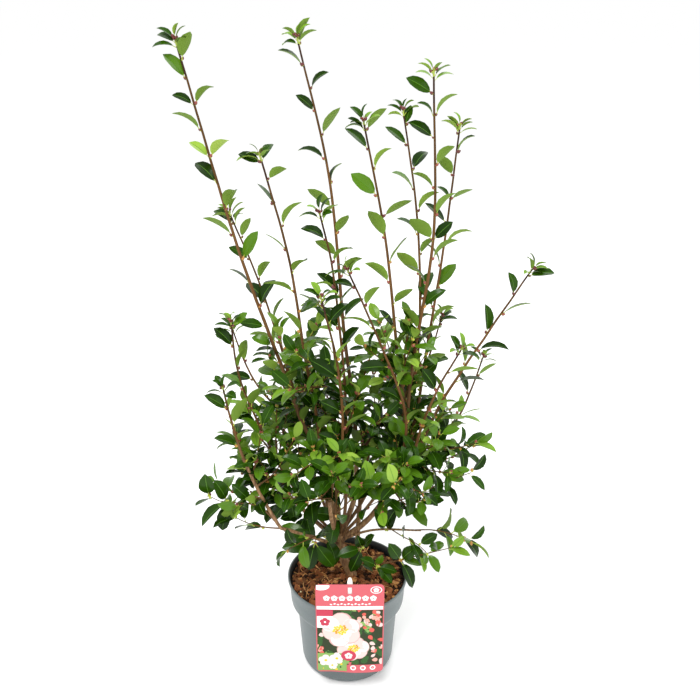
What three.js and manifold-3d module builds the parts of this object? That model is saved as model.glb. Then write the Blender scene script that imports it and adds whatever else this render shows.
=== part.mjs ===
// A young camellia shrub in its round nursery pot, in millimetres, +Z up.
// The origin is the centre of the pot's flat underside, and the plant's fuller face looks towards -Y.
import * as THREE from "three";
import { mergeVertices } from "three/addons/utils/BufferGeometryUtils.js";
import Module from "manifold-3d";

const wasm = await Module();
wasm.setup();

// Driving sizes of the pot, from the ground up.
const POT = {
  footRadius: 67, // flat underside
  heelRadius: 74.5, // where the rounded heel meets the cone
  shoulderRadius: 80.5, // where the cone meets the sloping shoulder
  collarRadius: 90.5, // foot of the upright collar
  collarTopRadius: 92.5,
  rimRadius: 95,
  heelHeight: 15,
  shoulderHeight: 105,
  collarHeight: 119,
  lipHeight: 157,
  height: 162,
  wall: 2.4,
  floor: 4,
  sides: 28,
};
const GAP = 0.4; // clearance kept between neighbouring solids
const MULCH = { edge: 151, crown: 155, crownRadius: 42 }; // heights of the bark mulch above the ground
const LABEL = { width: 102, height: 168, thickness: 0.8, corner: 7, foot: 49, centre: 4, out: 97.4 };
const SLOT = { width: 6.4, height: 13, belowTop: 5 }; // the hole in the card through which the pin shows
// The pin starts inside the rim, leans out over it and then stands straight behind the card.
const PIN = {
  width: 8,
  thickness: 1.4,
  behindCard: 1.6,
  tipAboveTop: 11,
  footInside: 10,
  kneeInside: 6,
  kneeAboveRim: 12,
  straightAboveRim: 34,
};
// How finely the limbs and the leaf masses are faceted, and how uneven the masses are.
const LIMB = { sides: 8, rings: 7, flareReach: 0.09 };
const MASS = { around: 11, down: 8, depth: 0.13 };
const PLUME = { sides: 8, rings: 7, depth: 0.12, slimmest: 0.62, bluntTip: 0.42 };

const COLOUR = {
  pot: 0x7e8d92,
  mulch: 0x5a3420,
  card: 0xee7482,
  pin: 0xf2f2ee,
  bark: 0x6b4a36,
  shoot: 0x7b4b3a,
  leaf: 0x3f7a22,
};

// The trunk and the boughs: foot, knee and tip of each centre line, with the radius at foot and tip.
const TRUNK = {
  name: "trunk",
  foot: [8, 2, MULCH.crown + GAP],
  knee: [-10, 4, 198],
  tip: [-14, 2, 236],
  radii: [7.6, 9.2],
  flare: 1.6,
};
const SECOND_STEM = {
  name: "stem_behind",
  foot: [22, 18, MULCH.crown + GAP],
  knee: [15, 22, 200],
  tip: [22, 42, 300],
  radii: [4.4, 3.4],
  flare: 1.5,
};
const BOUGHS = [
  { name: "bough_left", foot: [-19, -1, 234], knee: [-23, -1, 288], tip: [-24, -2, 352], radii: [4.6, 3.6] },
  { name: "bough_centre", foot: [-10, 7, 236], knee: [12, 12, 300], tip: [14, 14, 372], radii: [4.4, 3.4] },
  { name: "bough_right", foot: [-7, -2, 232], knee: [36, 0, 268], tip: [88, -4, 360], radii: [4.8, 3.6] },
  { name: "bough_front", foot: [-15, -9, 236], knee: [-22, -34, 278], tip: [-26, -62, 338], radii: [3.6, 2.8] },
  { name: "bough_back", foot: [-13, 11, 240], knee: [-18, 62, 288], tip: [-32, 102, 352], radii: [3.8, 3] },
  { name: "bough_left_low", foot: [-22, 4, 228], knee: [-62, 8, 268], tip: [-112, 6, 330], radii: [3.6, 2.8] },
  { name: "arch_low", foot: [-22, -8, 222], knee: [-58, -30, 254], tip: [-99, -52, 284], radii: [3.2, 2.4] },
  { name: "arch_rise", foot: [-100, -53, 287], knee: [-124, -63, 348], tip: [-145, -77, 418], radii: [2.4, 2] },
  { name: "twig_right_low", foot: [-3, -5, 230], knee: [41, -9, 250], tip: [112, -30, 264], radii: [2.4, 1.6] },
];

// The crown's masses of leaves: centre and half sizes of each, in the order in which they claim space.
const CROWN = [
  { name: "crown_front", centre: [-30, -84, 388], half: [74, 66, 84] },
  { name: "crown_left", centre: [-118, -14, 404], half: [80, 74, 88] },
  { name: "crown_right", centre: [128, -12, 400], half: [74, 78, 92] },
  { name: "crown_front_right", centre: [62, -82, 366], half: [60, 62, 74] },
  { name: "crown_back_left", centre: [-74, 92, 412], half: [82, 72, 98] },
  { name: "crown_back_right", centre: [70, 94, 404], half: [84, 72, 104] },
  { name: "crown_middle", centre: [8, 2, 452], half: [72, 62, 104] },
  { name: "crown_top_left", centre: [-62, -12, 540], half: [66, 54, 72] },
  { name: "crown_top_right", centre: [70, 6, 548], half: [66, 56, 74] },
  { name: "crown_left_low", centre: [-160, -44, 338], half: [62, 46, 40] },
  { name: "crown_back_low", centre: [6, 120, 306], half: [92, 46, 44] },
  { name: "spray_right_low", centre: [140, -52, 274], half: [64, 44, 32] },
  { name: "spray_front_low", centre: [56, -78, 244], half: [52, 38, 28] },
  { name: "spray_left_front", centre: [-62, -54, 238], half: [48, 34, 26] },
];

// The long leafy shoots: foot, knee and tip of each, with its widest and its topmost reach from the stem.
const PLUMES = [
  { name: "plume_far_left", foot: [-78, -6, 490], knee: [-146, -10, 712], tip: [-214, -20, 992], reach: 27 },
  { name: "plume_left_behind", foot: [-92, 60, 500], knee: [-130, 86, 622], tip: [-176, 112, 738], reach: 25 },
  { name: "plume_left_inner", foot: [-60, -24, 548], knee: [-73, -54, 700], tip: [-108, -82, 858], reach: 25 },
  { name: "plume_centre_tall", foot: [-4, 28, 540], knee: [-19, 54, 760], tip: [-70, 86, 990], reach: 26 },
  { name: "plume_centre_short", foot: [-10, -20, 590], knee: [-20, -36, 690], tip: [-44, -52, 782], reach: 22 },
  { name: "plume_centre_right", foot: [72, 6, 540], knee: [52, 8, 710], tip: [18, 10, 884], reach: 25 },
  { name: "plume_right_inner", foot: [106, 56, 600], knee: [99, 88, 730], tip: [76, 137, 880], reach: 24 },
  { name: "plume_right_tall", foot: [92, 0, 520], knee: [115, -10, 724], tip: [106, -20, 946], reach: 26 },
  { name: "plume_right_twin", foot: [116, 42, 520], knee: [137, 68, 680], tip: [158, 96, 864], reach: 28 },
  { name: "plume_centre_front", foot: [56, -54, 520], knee: [34, -66, 612], tip: [-6, -86, 716], reach: 22 },
  { name: "plume_front_right", foot: [104, -46, 440], knee: [124, -70, 526], tip: [154, -92, 606], reach: 25 },
  { name: "plume_far_right", foot: [150, 4, 480], knee: [198, 7, 574], tip: [284, 11, 686], reach: 25 },
  { name: "plume_right_low", foot: [148, 36, 392], knee: [182, 58, 438], tip: [216, 84, 520], reach: 25 },
  { name: "plume_front", foot: [-10, -60, 460], knee: [-12, -76, 556], tip: [-36, -116, 690], reach: 23 },
  { name: "plume_left", foot: [-130, -22, 430], knee: [-152, -26, 532], tip: [-160, -31, 626], reach: 26 },
  { name: "plume_arch", foot: [-143, -76, 408], knee: [-155, -88, 480], tip: [-166, -106, 558], reach: 24 },
  { name: "plume_back", foot: [-20, 120, 480], knee: [-30, 142, 530], tip: [-48, 158, 572], reach: 27 },
  { name: "plume_back_right", foot: [112, 120, 440], knee: [136, 136, 500], tip: [152, 150, 556], reach: 27 },
  { name: "plume_back_left", foot: [-130, 112, 420], knee: [-162, 128, 470], tip: [-184, 142, 540], reach: 27 },
];

const group = new THREE.Group();
const placed = [];

const vector = ([x, y, z]) => new THREE.Vector3(x, y, z);

// A closed three.js geometry as a manifold-3d solid.
function solidOf(geometry) {
  const bare = geometry.clone();
  bare.deleteAttribute("normal");
  bare.deleteAttribute("uv");
  const merged = mergeVertices(bare, 1e-3);
  const vertProperties = merged.attributes.position.array;
  const triVerts = new Uint32Array(merged.index.array);
  return new wasm.Manifold(new wasm.Mesh({ numProp: 3, vertProperties, triVerts }));
}

// A manifold-3d solid as a three.js geometry.
function geometryOf(solid) {
  const mesh = solid.getMesh();
  const geometry = new THREE.BufferGeometry();
  geometry.setAttribute("position", new THREE.BufferAttribute(mesh.vertProperties, mesh.numProp));
  geometry.setIndex(new THREE.BufferAttribute(mesh.triVerts, 1));
  geometry.computeVertexNormals();
  return geometry;
}

// The largest of the bodies that the cuts leave.
function largestBody(solid) {
  const bodies = solid.decompose();
  return bodies.reduce((best, body) => (body.volume() > best.volume() ? body : best));
}

// Adds one sub-part: make(grow) gives its solid, grown by that much. What stands already is cut from it,
// with the clearance, so each later piece is fitted round the earlier ones.
function place(name, make, colour, roughness = 0.8) {
  const whole = make(0);
  const cut = placed.reduce((rest, other) => rest.subtract(other), whole);
  const material = new THREE.MeshStandardMaterial({ color: colour, roughness, metalness: 0 });
  const mesh = new THREE.Mesh(geometryOf(largestBody(cut)), material);
  mesh.name = name;
  group.add(mesh);
  placed.push(make(GAP));
}

// A smooth uneven factor about 1, by direction, that differs for each seed.
function unevenness(direction, seed, depth) {
  const { x, y, z } = direction;
  const waves =
    Math.sin(3.3 * x + 1.9 * y + 2.1 * seed) +
    Math.sin(4.1 * y - 2.3 * z + 3.7 * seed) +
    Math.sin(3.7 * z + 2.7 * x + 5.3 * seed) +
    0.6 * Math.sin(7.1 * x - 6.3 * z + 1.3 * seed);
  return 1 + (depth * waves) / 2.2;
}

// A turned profile of [share of the length, radius] pairs, bent along a centre line.
// Upright pieces keep their rings level, so that they end in a level cut.
function bent(profile, curve, sides, { upright = false, seed = 0, depth = 0 } = {}) {
  const turned = new THREE.LatheGeometry(
    profile.map(([share, radius]) => new THREE.Vector2(radius, share)),
    sides,
  );
  const position = turned.attributes.position;
  const up = new THREE.Vector3(0, 0, 1);
  const across = new THREE.Vector3(0, 1, 0);
  const offset = new THREE.Vector3();
  for (let i = 0; i < position.count; i++) {
    const share = THREE.MathUtils.clamp(position.getY(i), 0, 1);
    const centre = curve.getPointAt(share);
    const along = upright ? up : curve.getTangentAt(share);
    const side = new THREE.Vector3().crossVectors(across, along).normalize();
    const away = new THREE.Vector3().crossVectors(side, along).normalize();
    offset.set(0, 0, 0).addScaledVector(side, position.getX(i)).addScaledVector(away, position.getZ(i));
    const radius = offset.length();
    if (depth > 0 && radius > 0) {
      const direction = offset.clone().divideScalar(radius).setZ(6 * share);
      offset.multiplyScalar(unevenness(direction, seed, depth));
    }
    position.setXYZ(i, centre.x + offset.x, centre.y + offset.y, centre.z + offset.z);
  }
  return turned;
}

const centreLine = ({ foot, knee, tip }) => new THREE.CatmullRomCurve3([foot, knee, tip].map(vector));

// One tapering limb, with a flare at the foot where it meets the ground.
function limb(data, grow) {
  const [atFoot, atTip] = data.radii;
  const flare = data.flare ?? 1;
  const profile = [[0, 0]];
  for (let i = 0; i < LIMB.rings; i++) {
    const share = i / (LIMB.rings - 1);
    const swell = 1 + (flare - 1) * Math.exp(-share / LIMB.flareReach);
    profile.push([share, (atFoot + (atTip - atFoot) * share) * swell + grow]);
  }
  profile.push([1, 0]);
  return solidOf(bent(profile, centreLine(data), LIMB.sides, { upright: Boolean(data.flare) }));
}

// One uneven mass of leaves about its centre.
function mass({ centre, half }, seed, grow) {
  const ball = new THREE.SphereGeometry(1, MASS.around, MASS.down);
  const position = ball.attributes.position;
  const direction = new THREE.Vector3();
  for (let i = 0; i < position.count; i++) {
    direction.fromBufferAttribute(position, i).normalize();
    const factor = unevenness(direction, seed, MASS.depth);
    const [x, y, z] = ["x", "y", "z"].map(
      (axis, k) => centre[k] + direction[axis] * (half[k] * factor + grow),
    );
    position.setXYZ(i, x, y, z);
  }
  return solidOf(ball);
}

// One slim uneven mass of leaves along a long shoot, widest below its middle and blunt at its tip.
function plume(data, seed, grow) {
  const profile = [[0, 0]];
  for (let i = 0; i < PLUME.rings; i++) {
    const share = i / (PLUME.rings - 1);
    const belly = Math.sin(Math.PI * Math.min(1, 0.25 + 0.7 * share));
    const swell = PLUME.slimmest + (1 - PLUME.slimmest) * belly;
    const close = i === PLUME.rings - 1 ? PLUME.bluntTip : 1;
    profile.push([share, data.reach * swell * close + grow]);
  }
  profile.push([1, 0]);
  return solidOf(bent(profile, centreLine(data), PLUME.sides, { seed, depth: PLUME.depth }));
}

// A turned piece on the pot's axis, from [radius, height] pairs that start and end on the axis.
function turnedUpright(profile, sides) {
  const lathe = new THREE.LatheGeometry(
    profile.map(([radius, height]) => new THREE.Vector2(radius, height)),
    sides,
  );
  return lathe.rotateX(Math.PI / 2);
}

// The pot: a thin shell with a cone, a sloping shoulder, an upright collar and a rolled rim.
function pot(grow) {
  const inner = POT.wall + grow;
  const outline = [
    [0, -grow],
    [POT.footRadius + grow, -grow],
    [POT.heelRadius + grow, POT.heelHeight],
    [POT.shoulderRadius + grow, POT.shoulderHeight],
    [POT.collarRadius + grow, POT.collarHeight],
    [POT.collarTopRadius + grow, POT.lipHeight],
    [POT.rimRadius + grow, POT.lipHeight],
    [POT.rimRadius + grow, POT.height + grow],
    [POT.collarTopRadius - inner, POT.height + grow],
    [POT.collarRadius - inner, POT.collarHeight],
    [POT.shoulderRadius - inner, POT.shoulderHeight],
    [POT.heelRadius - inner, POT.heelHeight],
    [POT.footRadius - inner, POT.floor + grow],
    [0, POT.floor + grow],
  ];
  return solidOf(turnedUpright(outline, POT.sides));
}

// The growing medium that fills the pot, with a low uneven dome of bark mulch on top.
function medium(grow) {
  const inset = POT.wall + GAP - grow;
  const outline = [
    [0, POT.floor + GAP - grow],
    [POT.footRadius - inset, POT.floor + GAP - grow],
    [POT.heelRadius - inset, POT.heelHeight],
    [POT.shoulderRadius - inset, POT.shoulderHeight],
    [POT.collarRadius - inset, POT.collarHeight],
    [POT.collarTopRadius - inset, MULCH.edge + grow],
    [MULCH.crownRadius, MULCH.crown + grow],
    [0, MULCH.crown + grow],
  ];
  return solidOf(turnedUpright(outline, POT.sides));
}

// The picture label: a thin card with round corners that stands in front of the rim, on its pin.
function labelCard(grow) {
  const { width, height, corner, thickness, foot, centre, out } = LABEL;
  const outline = new THREE.Shape();
  const right = width / 2 + grow;
  const top = height + grow;
  outline.moveTo(corner - right, -grow);
  outline.absarc(right - corner, corner - grow, corner, -Math.PI / 2, 0, false);
  outline.absarc(right - corner, top - corner, corner, 0, Math.PI / 2, false);
  outline.absarc(corner - right, top - corner, corner, Math.PI / 2, Math.PI, false);
  outline.absarc(corner - right, corner - grow, corner, Math.PI, 1.5 * Math.PI, false);
  const slot = new THREE.Path();
  const slotTop = height - SLOT.belowTop;
  slot.moveTo(-SLOT.width / 2, slotTop);
  slot.lineTo(SLOT.width / 2, slotTop);
  slot.lineTo(SLOT.width / 2, slotTop - SLOT.height);
  slot.lineTo(-SLOT.width / 2, slotTop - SLOT.height);
  outline.holes.push(slot);
  const depth = thickness + 2 * grow;
  const card = new THREE.ExtrudeGeometry(outline, { depth, bevelEnabled: false, curveSegments: 4 });
  card.rotateX(Math.PI / 2);
  card.translate(centre, depth / 2 - out, foot);
  return solidOf(card);
}

// The white pin: a flat strip from the mulch, over the rim and up behind the card, past its top edge.
function labelPin(grow) {
  const cardTop = LABEL.foot + LABEL.height;
  const behind = PIN.behindCard - LABEL.out;
  const route = [
    [behind + PIN.footInside, MULCH.crown - grow],
    [behind + PIN.kneeInside, POT.height + PIN.kneeAboveRim],
    [behind, POT.height + PIN.straightAboveRim],
    [behind, cardTop + PIN.tipAboveTop + grow],
  ];
  const half = PIN.thickness / 2 + grow;
  const inner = route.map(([y, z]) => [y + half, z]);
  const outer = route.map(([y, z]) => [y - half, z]);
  const corners = [...inner, ...outer.reverse()].map(([y, z]) => new THREE.Vector2(y, z));
  const depth = PIN.width + 2 * grow;
  const strip = new THREE.ExtrudeGeometry(new THREE.Shape(corners), { depth, bevelEnabled: false });
  strip.translate(0, 0, -depth / 2);
  // The strip is drawn in a plane of (y, z) and extruded along x.
  strip.applyMatrix4(new THREE.Matrix4().set(0, 0, 1, LABEL.centre, 1, 0, 0, 0, 0, 1, 0, 0, 0, 0, 0, 1));
  return solidOf(strip);
}

place("pot", pot, COLOUR.pot, 0.55);
place("potting_medium", medium, COLOUR.mulch, 0.95);
place("label_pin", labelPin, COLOUR.pin, 0.5);
place("label_card", labelCard, COLOUR.card, 0.35);
place(TRUNK.name, (grow) => limb(TRUNK, grow), COLOUR.bark);
place(SECOND_STEM.name, (grow) => limb(SECOND_STEM, grow), COLOUR.bark);
BOUGHS.forEach((data) => place(data.name, (grow) => limb(data, grow), COLOUR.shoot));
CROWN.forEach((data, seed) => place(data.name, (grow) => mass(data, seed, grow), COLOUR.leaf));
PLUMES.forEach((data, seed) => place(data.name, (grow) => plume(data, seed, grow), COLOUR.leaf));

export default group;
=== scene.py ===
"""The looks of a young camellia shrub in its nursery pot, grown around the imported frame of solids.

Lengths in the tables are millimetres, as in the part's own source. Meshes are metres.
"""

import logging
import math
from dataclasses import dataclass, field
from enum import Enum
from functools import lru_cache

import bmesh
import bpy
import numpy as np
from mathutils import Matrix, Vector, noise


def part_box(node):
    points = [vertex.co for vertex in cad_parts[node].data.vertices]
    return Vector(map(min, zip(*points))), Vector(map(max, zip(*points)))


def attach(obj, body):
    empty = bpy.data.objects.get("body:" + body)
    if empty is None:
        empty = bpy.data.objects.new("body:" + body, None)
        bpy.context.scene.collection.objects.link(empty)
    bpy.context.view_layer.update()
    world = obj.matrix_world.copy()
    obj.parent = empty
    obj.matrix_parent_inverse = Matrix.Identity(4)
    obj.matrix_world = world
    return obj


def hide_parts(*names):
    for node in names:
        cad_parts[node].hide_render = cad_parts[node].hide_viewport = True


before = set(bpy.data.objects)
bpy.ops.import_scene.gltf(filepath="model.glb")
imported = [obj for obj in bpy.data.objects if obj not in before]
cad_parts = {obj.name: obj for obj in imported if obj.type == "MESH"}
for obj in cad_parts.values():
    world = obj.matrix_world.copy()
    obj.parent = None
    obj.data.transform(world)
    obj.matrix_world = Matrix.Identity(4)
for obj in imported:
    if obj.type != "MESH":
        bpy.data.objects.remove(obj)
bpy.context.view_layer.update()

MM = 0.001
SEED = 4807
GOLDEN_TURN = math.radians(137.5)
TWO_RANKS_TURN = math.radians(180.0)
UP = np.array([0.0, 0.0, 1.0])
FRONT_TO_BACK = np.array([0.0, 1.0, 0.0])

log = logging.getLogger("camellia")


# ---------------------------------------------------------------- finishes


def linear(colour: int) -> tuple[float, float, float, float]:
    """Turns a display colour into the linear colour that a shader takes.

    Args:
        colour: Red, green and blue as 0xRRGGBB.

    Returns:
        The linear red, green and blue, with full alpha.
    """
    parts = [((colour >> shift) & 255) / 255 for shift in (16, 8, 0)]
    r, g, b = (p / 12.92 if p <= 0.04045 else ((p + 0.055) / 1.055) ** 2.4 for p in parts)
    return (r, g, b, 1.0)


@dataclass(frozen=True)
class Finish:
    """A plain finish, all of it set on the shader's own sockets."""

    name: str
    colour: int
    roughness: float = 0.5
    coat: float = 0.0
    specular: float = 0.5

    def material(self) -> bpy.types.Material:
        """Gives the material, made once.

        Returns:
            The material.
        """
        made = bpy.data.materials.get(self.name)
        if made is None:
            made = bpy.data.materials.new(self.name)
            made.use_nodes = True
            self.dress(made.node_tree, made.node_tree.nodes["Principled BSDF"])
        return made

    def dress(self, tree: bpy.types.NodeTree, shader: bpy.types.Node) -> None:
        """Sets the shader.

        Args:
            tree: The material's node tree.
            shader: Its Principled node.
        """
        shader.inputs["Base Color"].default_value = linear(self.colour)
        shader.inputs["Roughness"].default_value = self.roughness
        shader.inputs["Specular IOR Level"].default_value = self.specular
        shader.inputs["Coat Weight"].default_value = self.coat
        shader.inputs["Coat Roughness"].default_value = 0.12


@dataclass(frozen=True)
class GrainedFinish(Finish):
    """A finish whose colour and relief follow a noise, stretched or not along Z."""

    dark: int = 0
    light: int = 0
    scale: float = 100.0
    stretch: float = 1.0
    bump: float = 0.2
    bump_mm: float = 0.5
    rough_spread: float = 0.1

    def dress(self, tree: bpy.types.NodeTree, shader: bpy.types.Node) -> None:
        """Sets the shader and its grain.

        Args:
            tree: The material's node tree.
            shader: Its Principled node.
        """
        super().dress(tree, shader)
        nodes, links = tree.nodes, tree.links
        place = nodes.new("ShaderNodeTexCoord")
        mapping = nodes.new("ShaderNodeMapping")
        mapping.inputs["Scale"].default_value = (1.0, 1.0, self.stretch)
        links.new(place.outputs["Object"], mapping.inputs["Vector"])
        grain = nodes.new("ShaderNodeTexNoise")
        grain.inputs["Scale"].default_value = self.scale
        grain.inputs["Detail"].default_value = 5.0
        grain.inputs["Roughness"].default_value = 0.62
        links.new(mapping.outputs["Vector"], grain.inputs["Vector"])
        ramp = nodes.new("ShaderNodeValToRGB")
        ramp.color_ramp.elements[0].position = 0.34
        ramp.color_ramp.elements[0].color = linear(self.dark)
        ramp.color_ramp.elements[1].position = 0.68
        ramp.color_ramp.elements[1].color = linear(self.light)
        middle = ramp.color_ramp.elements.new(0.5)
        middle.color = linear(self.colour)
        links.new(grain.outputs["Fac"], ramp.inputs["Fac"])
        links.new(ramp.outputs["Color"], shader.inputs["Base Color"])
        rough = nodes.new("ShaderNodeMapRange")
        rough.inputs["To Min"].default_value = self.roughness - self.rough_spread
        rough.inputs["To Max"].default_value = self.roughness + self.rough_spread
        links.new(grain.outputs["Fac"], rough.inputs["Value"])
        links.new(rough.outputs["Result"], shader.inputs["Roughness"])
        relief = nodes.new("ShaderNodeBump")
        relief.inputs["Strength"].default_value = self.bump
        relief.inputs["Distance"].default_value = self.bump_mm * MM
        links.new(grain.outputs["Fac"], relief.inputs["Height"])
        links.new(relief.outputs["Normal"], shader.inputs["Normal"])


class LeafTint(Enum):
    """The leaf colours that sprays are dealt: the upper face and the face below."""

    DARK = (0x162E02, 0x67842F)
    DEEP = (0x244305, 0x6F8D35)
    MID = (0x486D12, 0x7A9838)
    BRIGHT = (0x6C9128, 0x88A640)
    FRESH = (0x86A63C, 0x9AB64E)

    def upper(self) -> Finish:
        """Returns the waxy upper face's finish."""
        shine = 0.11 if self in (LeafTint.DARK, LeafTint.DEEP) else 0.2
        return Finish(f"leaf_{self.name.lower()}_upper", self.value[0], 0.24, 0.05, shine)

    def under(self) -> Finish:
        """Returns the dull lower face's finish."""
        return Finish(f"leaf_{self.name.lower()}_under", self.value[1], 0.55, 0.0, 0.12)


class BudTint(Enum):
    """The bud colours, from ripe to young."""

    RED = 0x5E2420
    CORAL = 0x853F31
    AMBER = 0xB07C36
    LIME = 0xB4BE46

    def finish(self) -> Finish:
        """Returns the bud's finish."""
        return Finish(f"bud_{self.name.lower()}", self.value, 0.42, 0.1)


MIDRIB = Finish("leaf_midrib", 0x466F1A, 0.4, 0.0, 0.2)
STALK = Finish("leaf_stalk", 0xA3B23C, 0.5)
WOOD_OLD = Finish("twig_old_wood", 0x6C4E2F, 0.75, 0.0, 0.3)
WOOD_RIPE = Finish("twig_ripe_wood", 0x644524, 0.7, 0.0, 0.18)
WOOD_YOUNG = Finish("twig_young_wood", 0x503719, 0.7, 0.0, 0.15)
WOOD_TIP = Finish("twig_tip", 0x372317, 0.65, 0.0, 0.15)
WOOD_GREEN = Finish("twig_green_tip", 0x93A33E, 0.5)
BUD_SCALE = Finish("bud_scale", 0xA7B444, 0.5)
TRUNK_BARK = GrainedFinish(
    "trunk_bark", 0x8A6844, 0.82, dark=0x563C28, light=0xAC8A64,
    scale=260, stretch=0.22, bump=0.8, bump_mm=0.8,
)
BOUGH_BARK = GrainedFinish(
    "bough_bark", 0x84613E, 0.76, dark=0x553B25, light=0xA8865E,
    scale=320, stretch=0.2, bump=0.6, bump_mm=0.5,
)
POT_OUTSIDE = GrainedFinish(
    "pot_outside", 0x5B6566, 0.42, dark=0x525C5D, light=0x656F70,
    scale=900, bump=0.12, bump_mm=0.12, rough_spread=0.05,
)
POT_INSIDE = GrainedFinish(
    "pot_inside", 0x23282B, 0.5, dark=0x1C2022, light=0x2B3134,
    scale=700, bump=0.12, bump_mm=0.12, rough_spread=0.05,
)
SOIL = GrainedFinish("soil", 0x2E1A10, 0.95, dark=0x1A0E08, light=0x47291A, scale=180, bump=1.0, bump_mm=2.0)
CHIPS = [
    Finish("bark_chip_red", 0x86512F, 0.85, 0.0, 0.2),
    Finish("bark_chip_brown", 0x654026, 0.88, 0.0, 0.2),
    Finish("bark_chip_dark", 0x2E1B10, 0.9, 0.0, 0.15),
    Finish("bark_chip_pale", 0xBC8550, 0.85, 0.0, 0.2),
]
FIBRE = Finish("bark_fibre", 0xDDA868, 0.8)
GRANULE = Finish("feed_granule", 0xDCCFA0, 0.6)


# ------------------------------------------------------- shapes as arrays


@dataclass
class Shape:
    """A small closed mesh as arrays: points, face corners, corners per face and the kind of each face."""

    points: np.ndarray
    corners: np.ndarray
    sizes: np.ndarray
    kinds: np.ndarray

    @classmethod
    def of(cls, bm: bmesh.types.BMesh) -> "Shape":
        """Reads a bmesh and frees it.

        Args:
            bm: The mesh, with the kind of each face as its material index.

        Returns:
            The same mesh as arrays.
        """
        mesh = bpy.data.meshes.new("shape")
        bm.to_mesh(mesh)
        bm.free()
        points = np.empty(len(mesh.vertices) * 3)
        corners = np.empty(len(mesh.loops), np.int64)
        sizes = np.empty(len(mesh.polygons), np.int64)
        kinds = np.empty(len(mesh.polygons), np.int64)
        mesh.vertices.foreach_get("co", points)
        mesh.loops.foreach_get("vertex_index", corners)
        mesh.polygons.foreach_get("loop_total", sizes)
        mesh.polygons.foreach_get("material_index", kinds)
        bpy.data.meshes.remove(mesh)
        return cls(points.reshape(-1, 3), corners, sizes, kinds)


class Gathering:
    """Many copies of small shapes, joined into one piece."""

    def __init__(self, name: str, finishes: list[Finish]) -> None:
        """Starts an empty piece.

        Args:
            name: The piece's name.
            finishes: Its finishes, in the order that the copies' numbers refer to.
        """
        self.name = name
        self.finishes = finishes
        self.points: list[np.ndarray] = []
        self.corners: list[np.ndarray] = []
        self.sizes: list[np.ndarray] = []
        self.finish_of: list[np.ndarray] = []
        self.count = 0

    def add(self, shape: Shape, points: np.ndarray, finish_of_kind: list[int]) -> None:
        """Joins one copy of a shape.

        Args:
            shape: The shape.
            points: Where its points go.
            finish_of_kind: The number of the finish that each kind of face takes.
        """
        self.points.append(points)
        self.corners.append(shape.corners + self.count)
        self.sizes.append(shape.sizes)
        self.finish_of.append(np.array(finish_of_kind)[shape.kinds])
        self.count += len(points)

    def build(self, sharp: float = 50.0) -> bpy.types.Object:
        """Makes the piece.

        Args:
            sharp: The angle in degrees past which an edge is sharp.

        Returns:
            The object, at the origin.
        """
        points = np.concatenate(self.points)
        corners = np.concatenate(self.corners)
        sizes = np.concatenate(self.sizes)
        mesh = bpy.data.meshes.new(self.name)
        mesh.vertices.add(len(points))
        mesh.vertices.foreach_set("co", points.ravel())
        mesh.loops.add(len(corners))
        mesh.loops.foreach_set("vertex_index", corners.astype(np.int32))
        mesh.polygons.add(len(sizes))
        mesh.polygons.foreach_set("loop_start", (np.cumsum(sizes) - sizes).astype(np.int32))
        mesh.polygons.foreach_set("material_index", np.concatenate(self.finish_of).astype(np.int32))
        mesh.update(calc_edges=True)
        return finished(mesh, self.finishes, sharp)


def finished(mesh: bpy.types.Mesh, finishes: list[Finish], sharp: float = 50.0) -> bpy.types.Object:
    """Links a mesh as an object with its finishes.

    Args:
        mesh: The mesh, with its place in its points.
        finishes: The finishes that its material numbers refer to.
        sharp: The angle in degrees past which an edge is sharp.

    Returns:
        The object, at the origin.
    """
    for finish in finishes:
        mesh.materials.append(finish.material())
    mesh.shade_smooth()
    mesh.set_sharp_from_angle(angle=math.radians(sharp))
    piece = bpy.data.objects.new(mesh.name, mesh)
    bpy.context.scene.collection.objects.link(piece)
    return piece


def turned(section: list[tuple[float, float]], steps: int) -> bmesh.types.BMesh:
    """Turns a section right round the upright axis.

    Args:
        section: The section as radius and height in millimetres, from axis to axis.
        steps: How many steps the turn has.

    Returns:
        The closed mesh, in metres.
    """
    bm = bmesh.new()
    verts = [bm.verts.new((radius * MM, 0, height * MM)) for radius, height in section]
    edges = [bm.edges.new(pair) for pair in zip(verts, verts[1:])]
    bmesh.ops.spin(
        bm, geom=verts + edges, cent=(0, 0, 0), axis=(0, 0, 1), angle=2 * math.pi, steps=steps, use_merge=True
    )
    bmesh.ops.remove_doubles(bm, verts=bm.verts, dist=1e-6)
    return bm


def piece_of(
    bm: bmesh.types.BMesh, name: str, finishes: list[Finish], sharp: float = 35.0
) -> bpy.types.Object:
    """Makes a bmesh a piece, with its faces turned outwards.

    Args:
        bm: The mesh, which is freed.
        name: The piece's name.
        finishes: Its finishes.
        sharp: The angle in degrees past which an edge is sharp.

    Returns:
        The object, at the origin.
    """
    bmesh.ops.recalc_face_normals(bm, faces=bm.faces)
    mesh = bpy.data.meshes.new(name)
    bm.to_mesh(mesh)
    bm.free()
    return finished(mesh, finishes, sharp)


def keep(piece: bpy.types.Object, slot: str, *nodes: str) -> None:
    """Rides a piece on the plant's one body and hides the solids that it replaces.

    Args:
        piece: The piece.
        slot: Not used.
        nodes: The solids that it replaces.
    """
    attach(piece, "root")
    if nodes:
        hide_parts(*nodes)
    log.info("%s: %d faces", piece.name, len(piece.data.polygons))


# ------------------------------------------------------------------ paths


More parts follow.
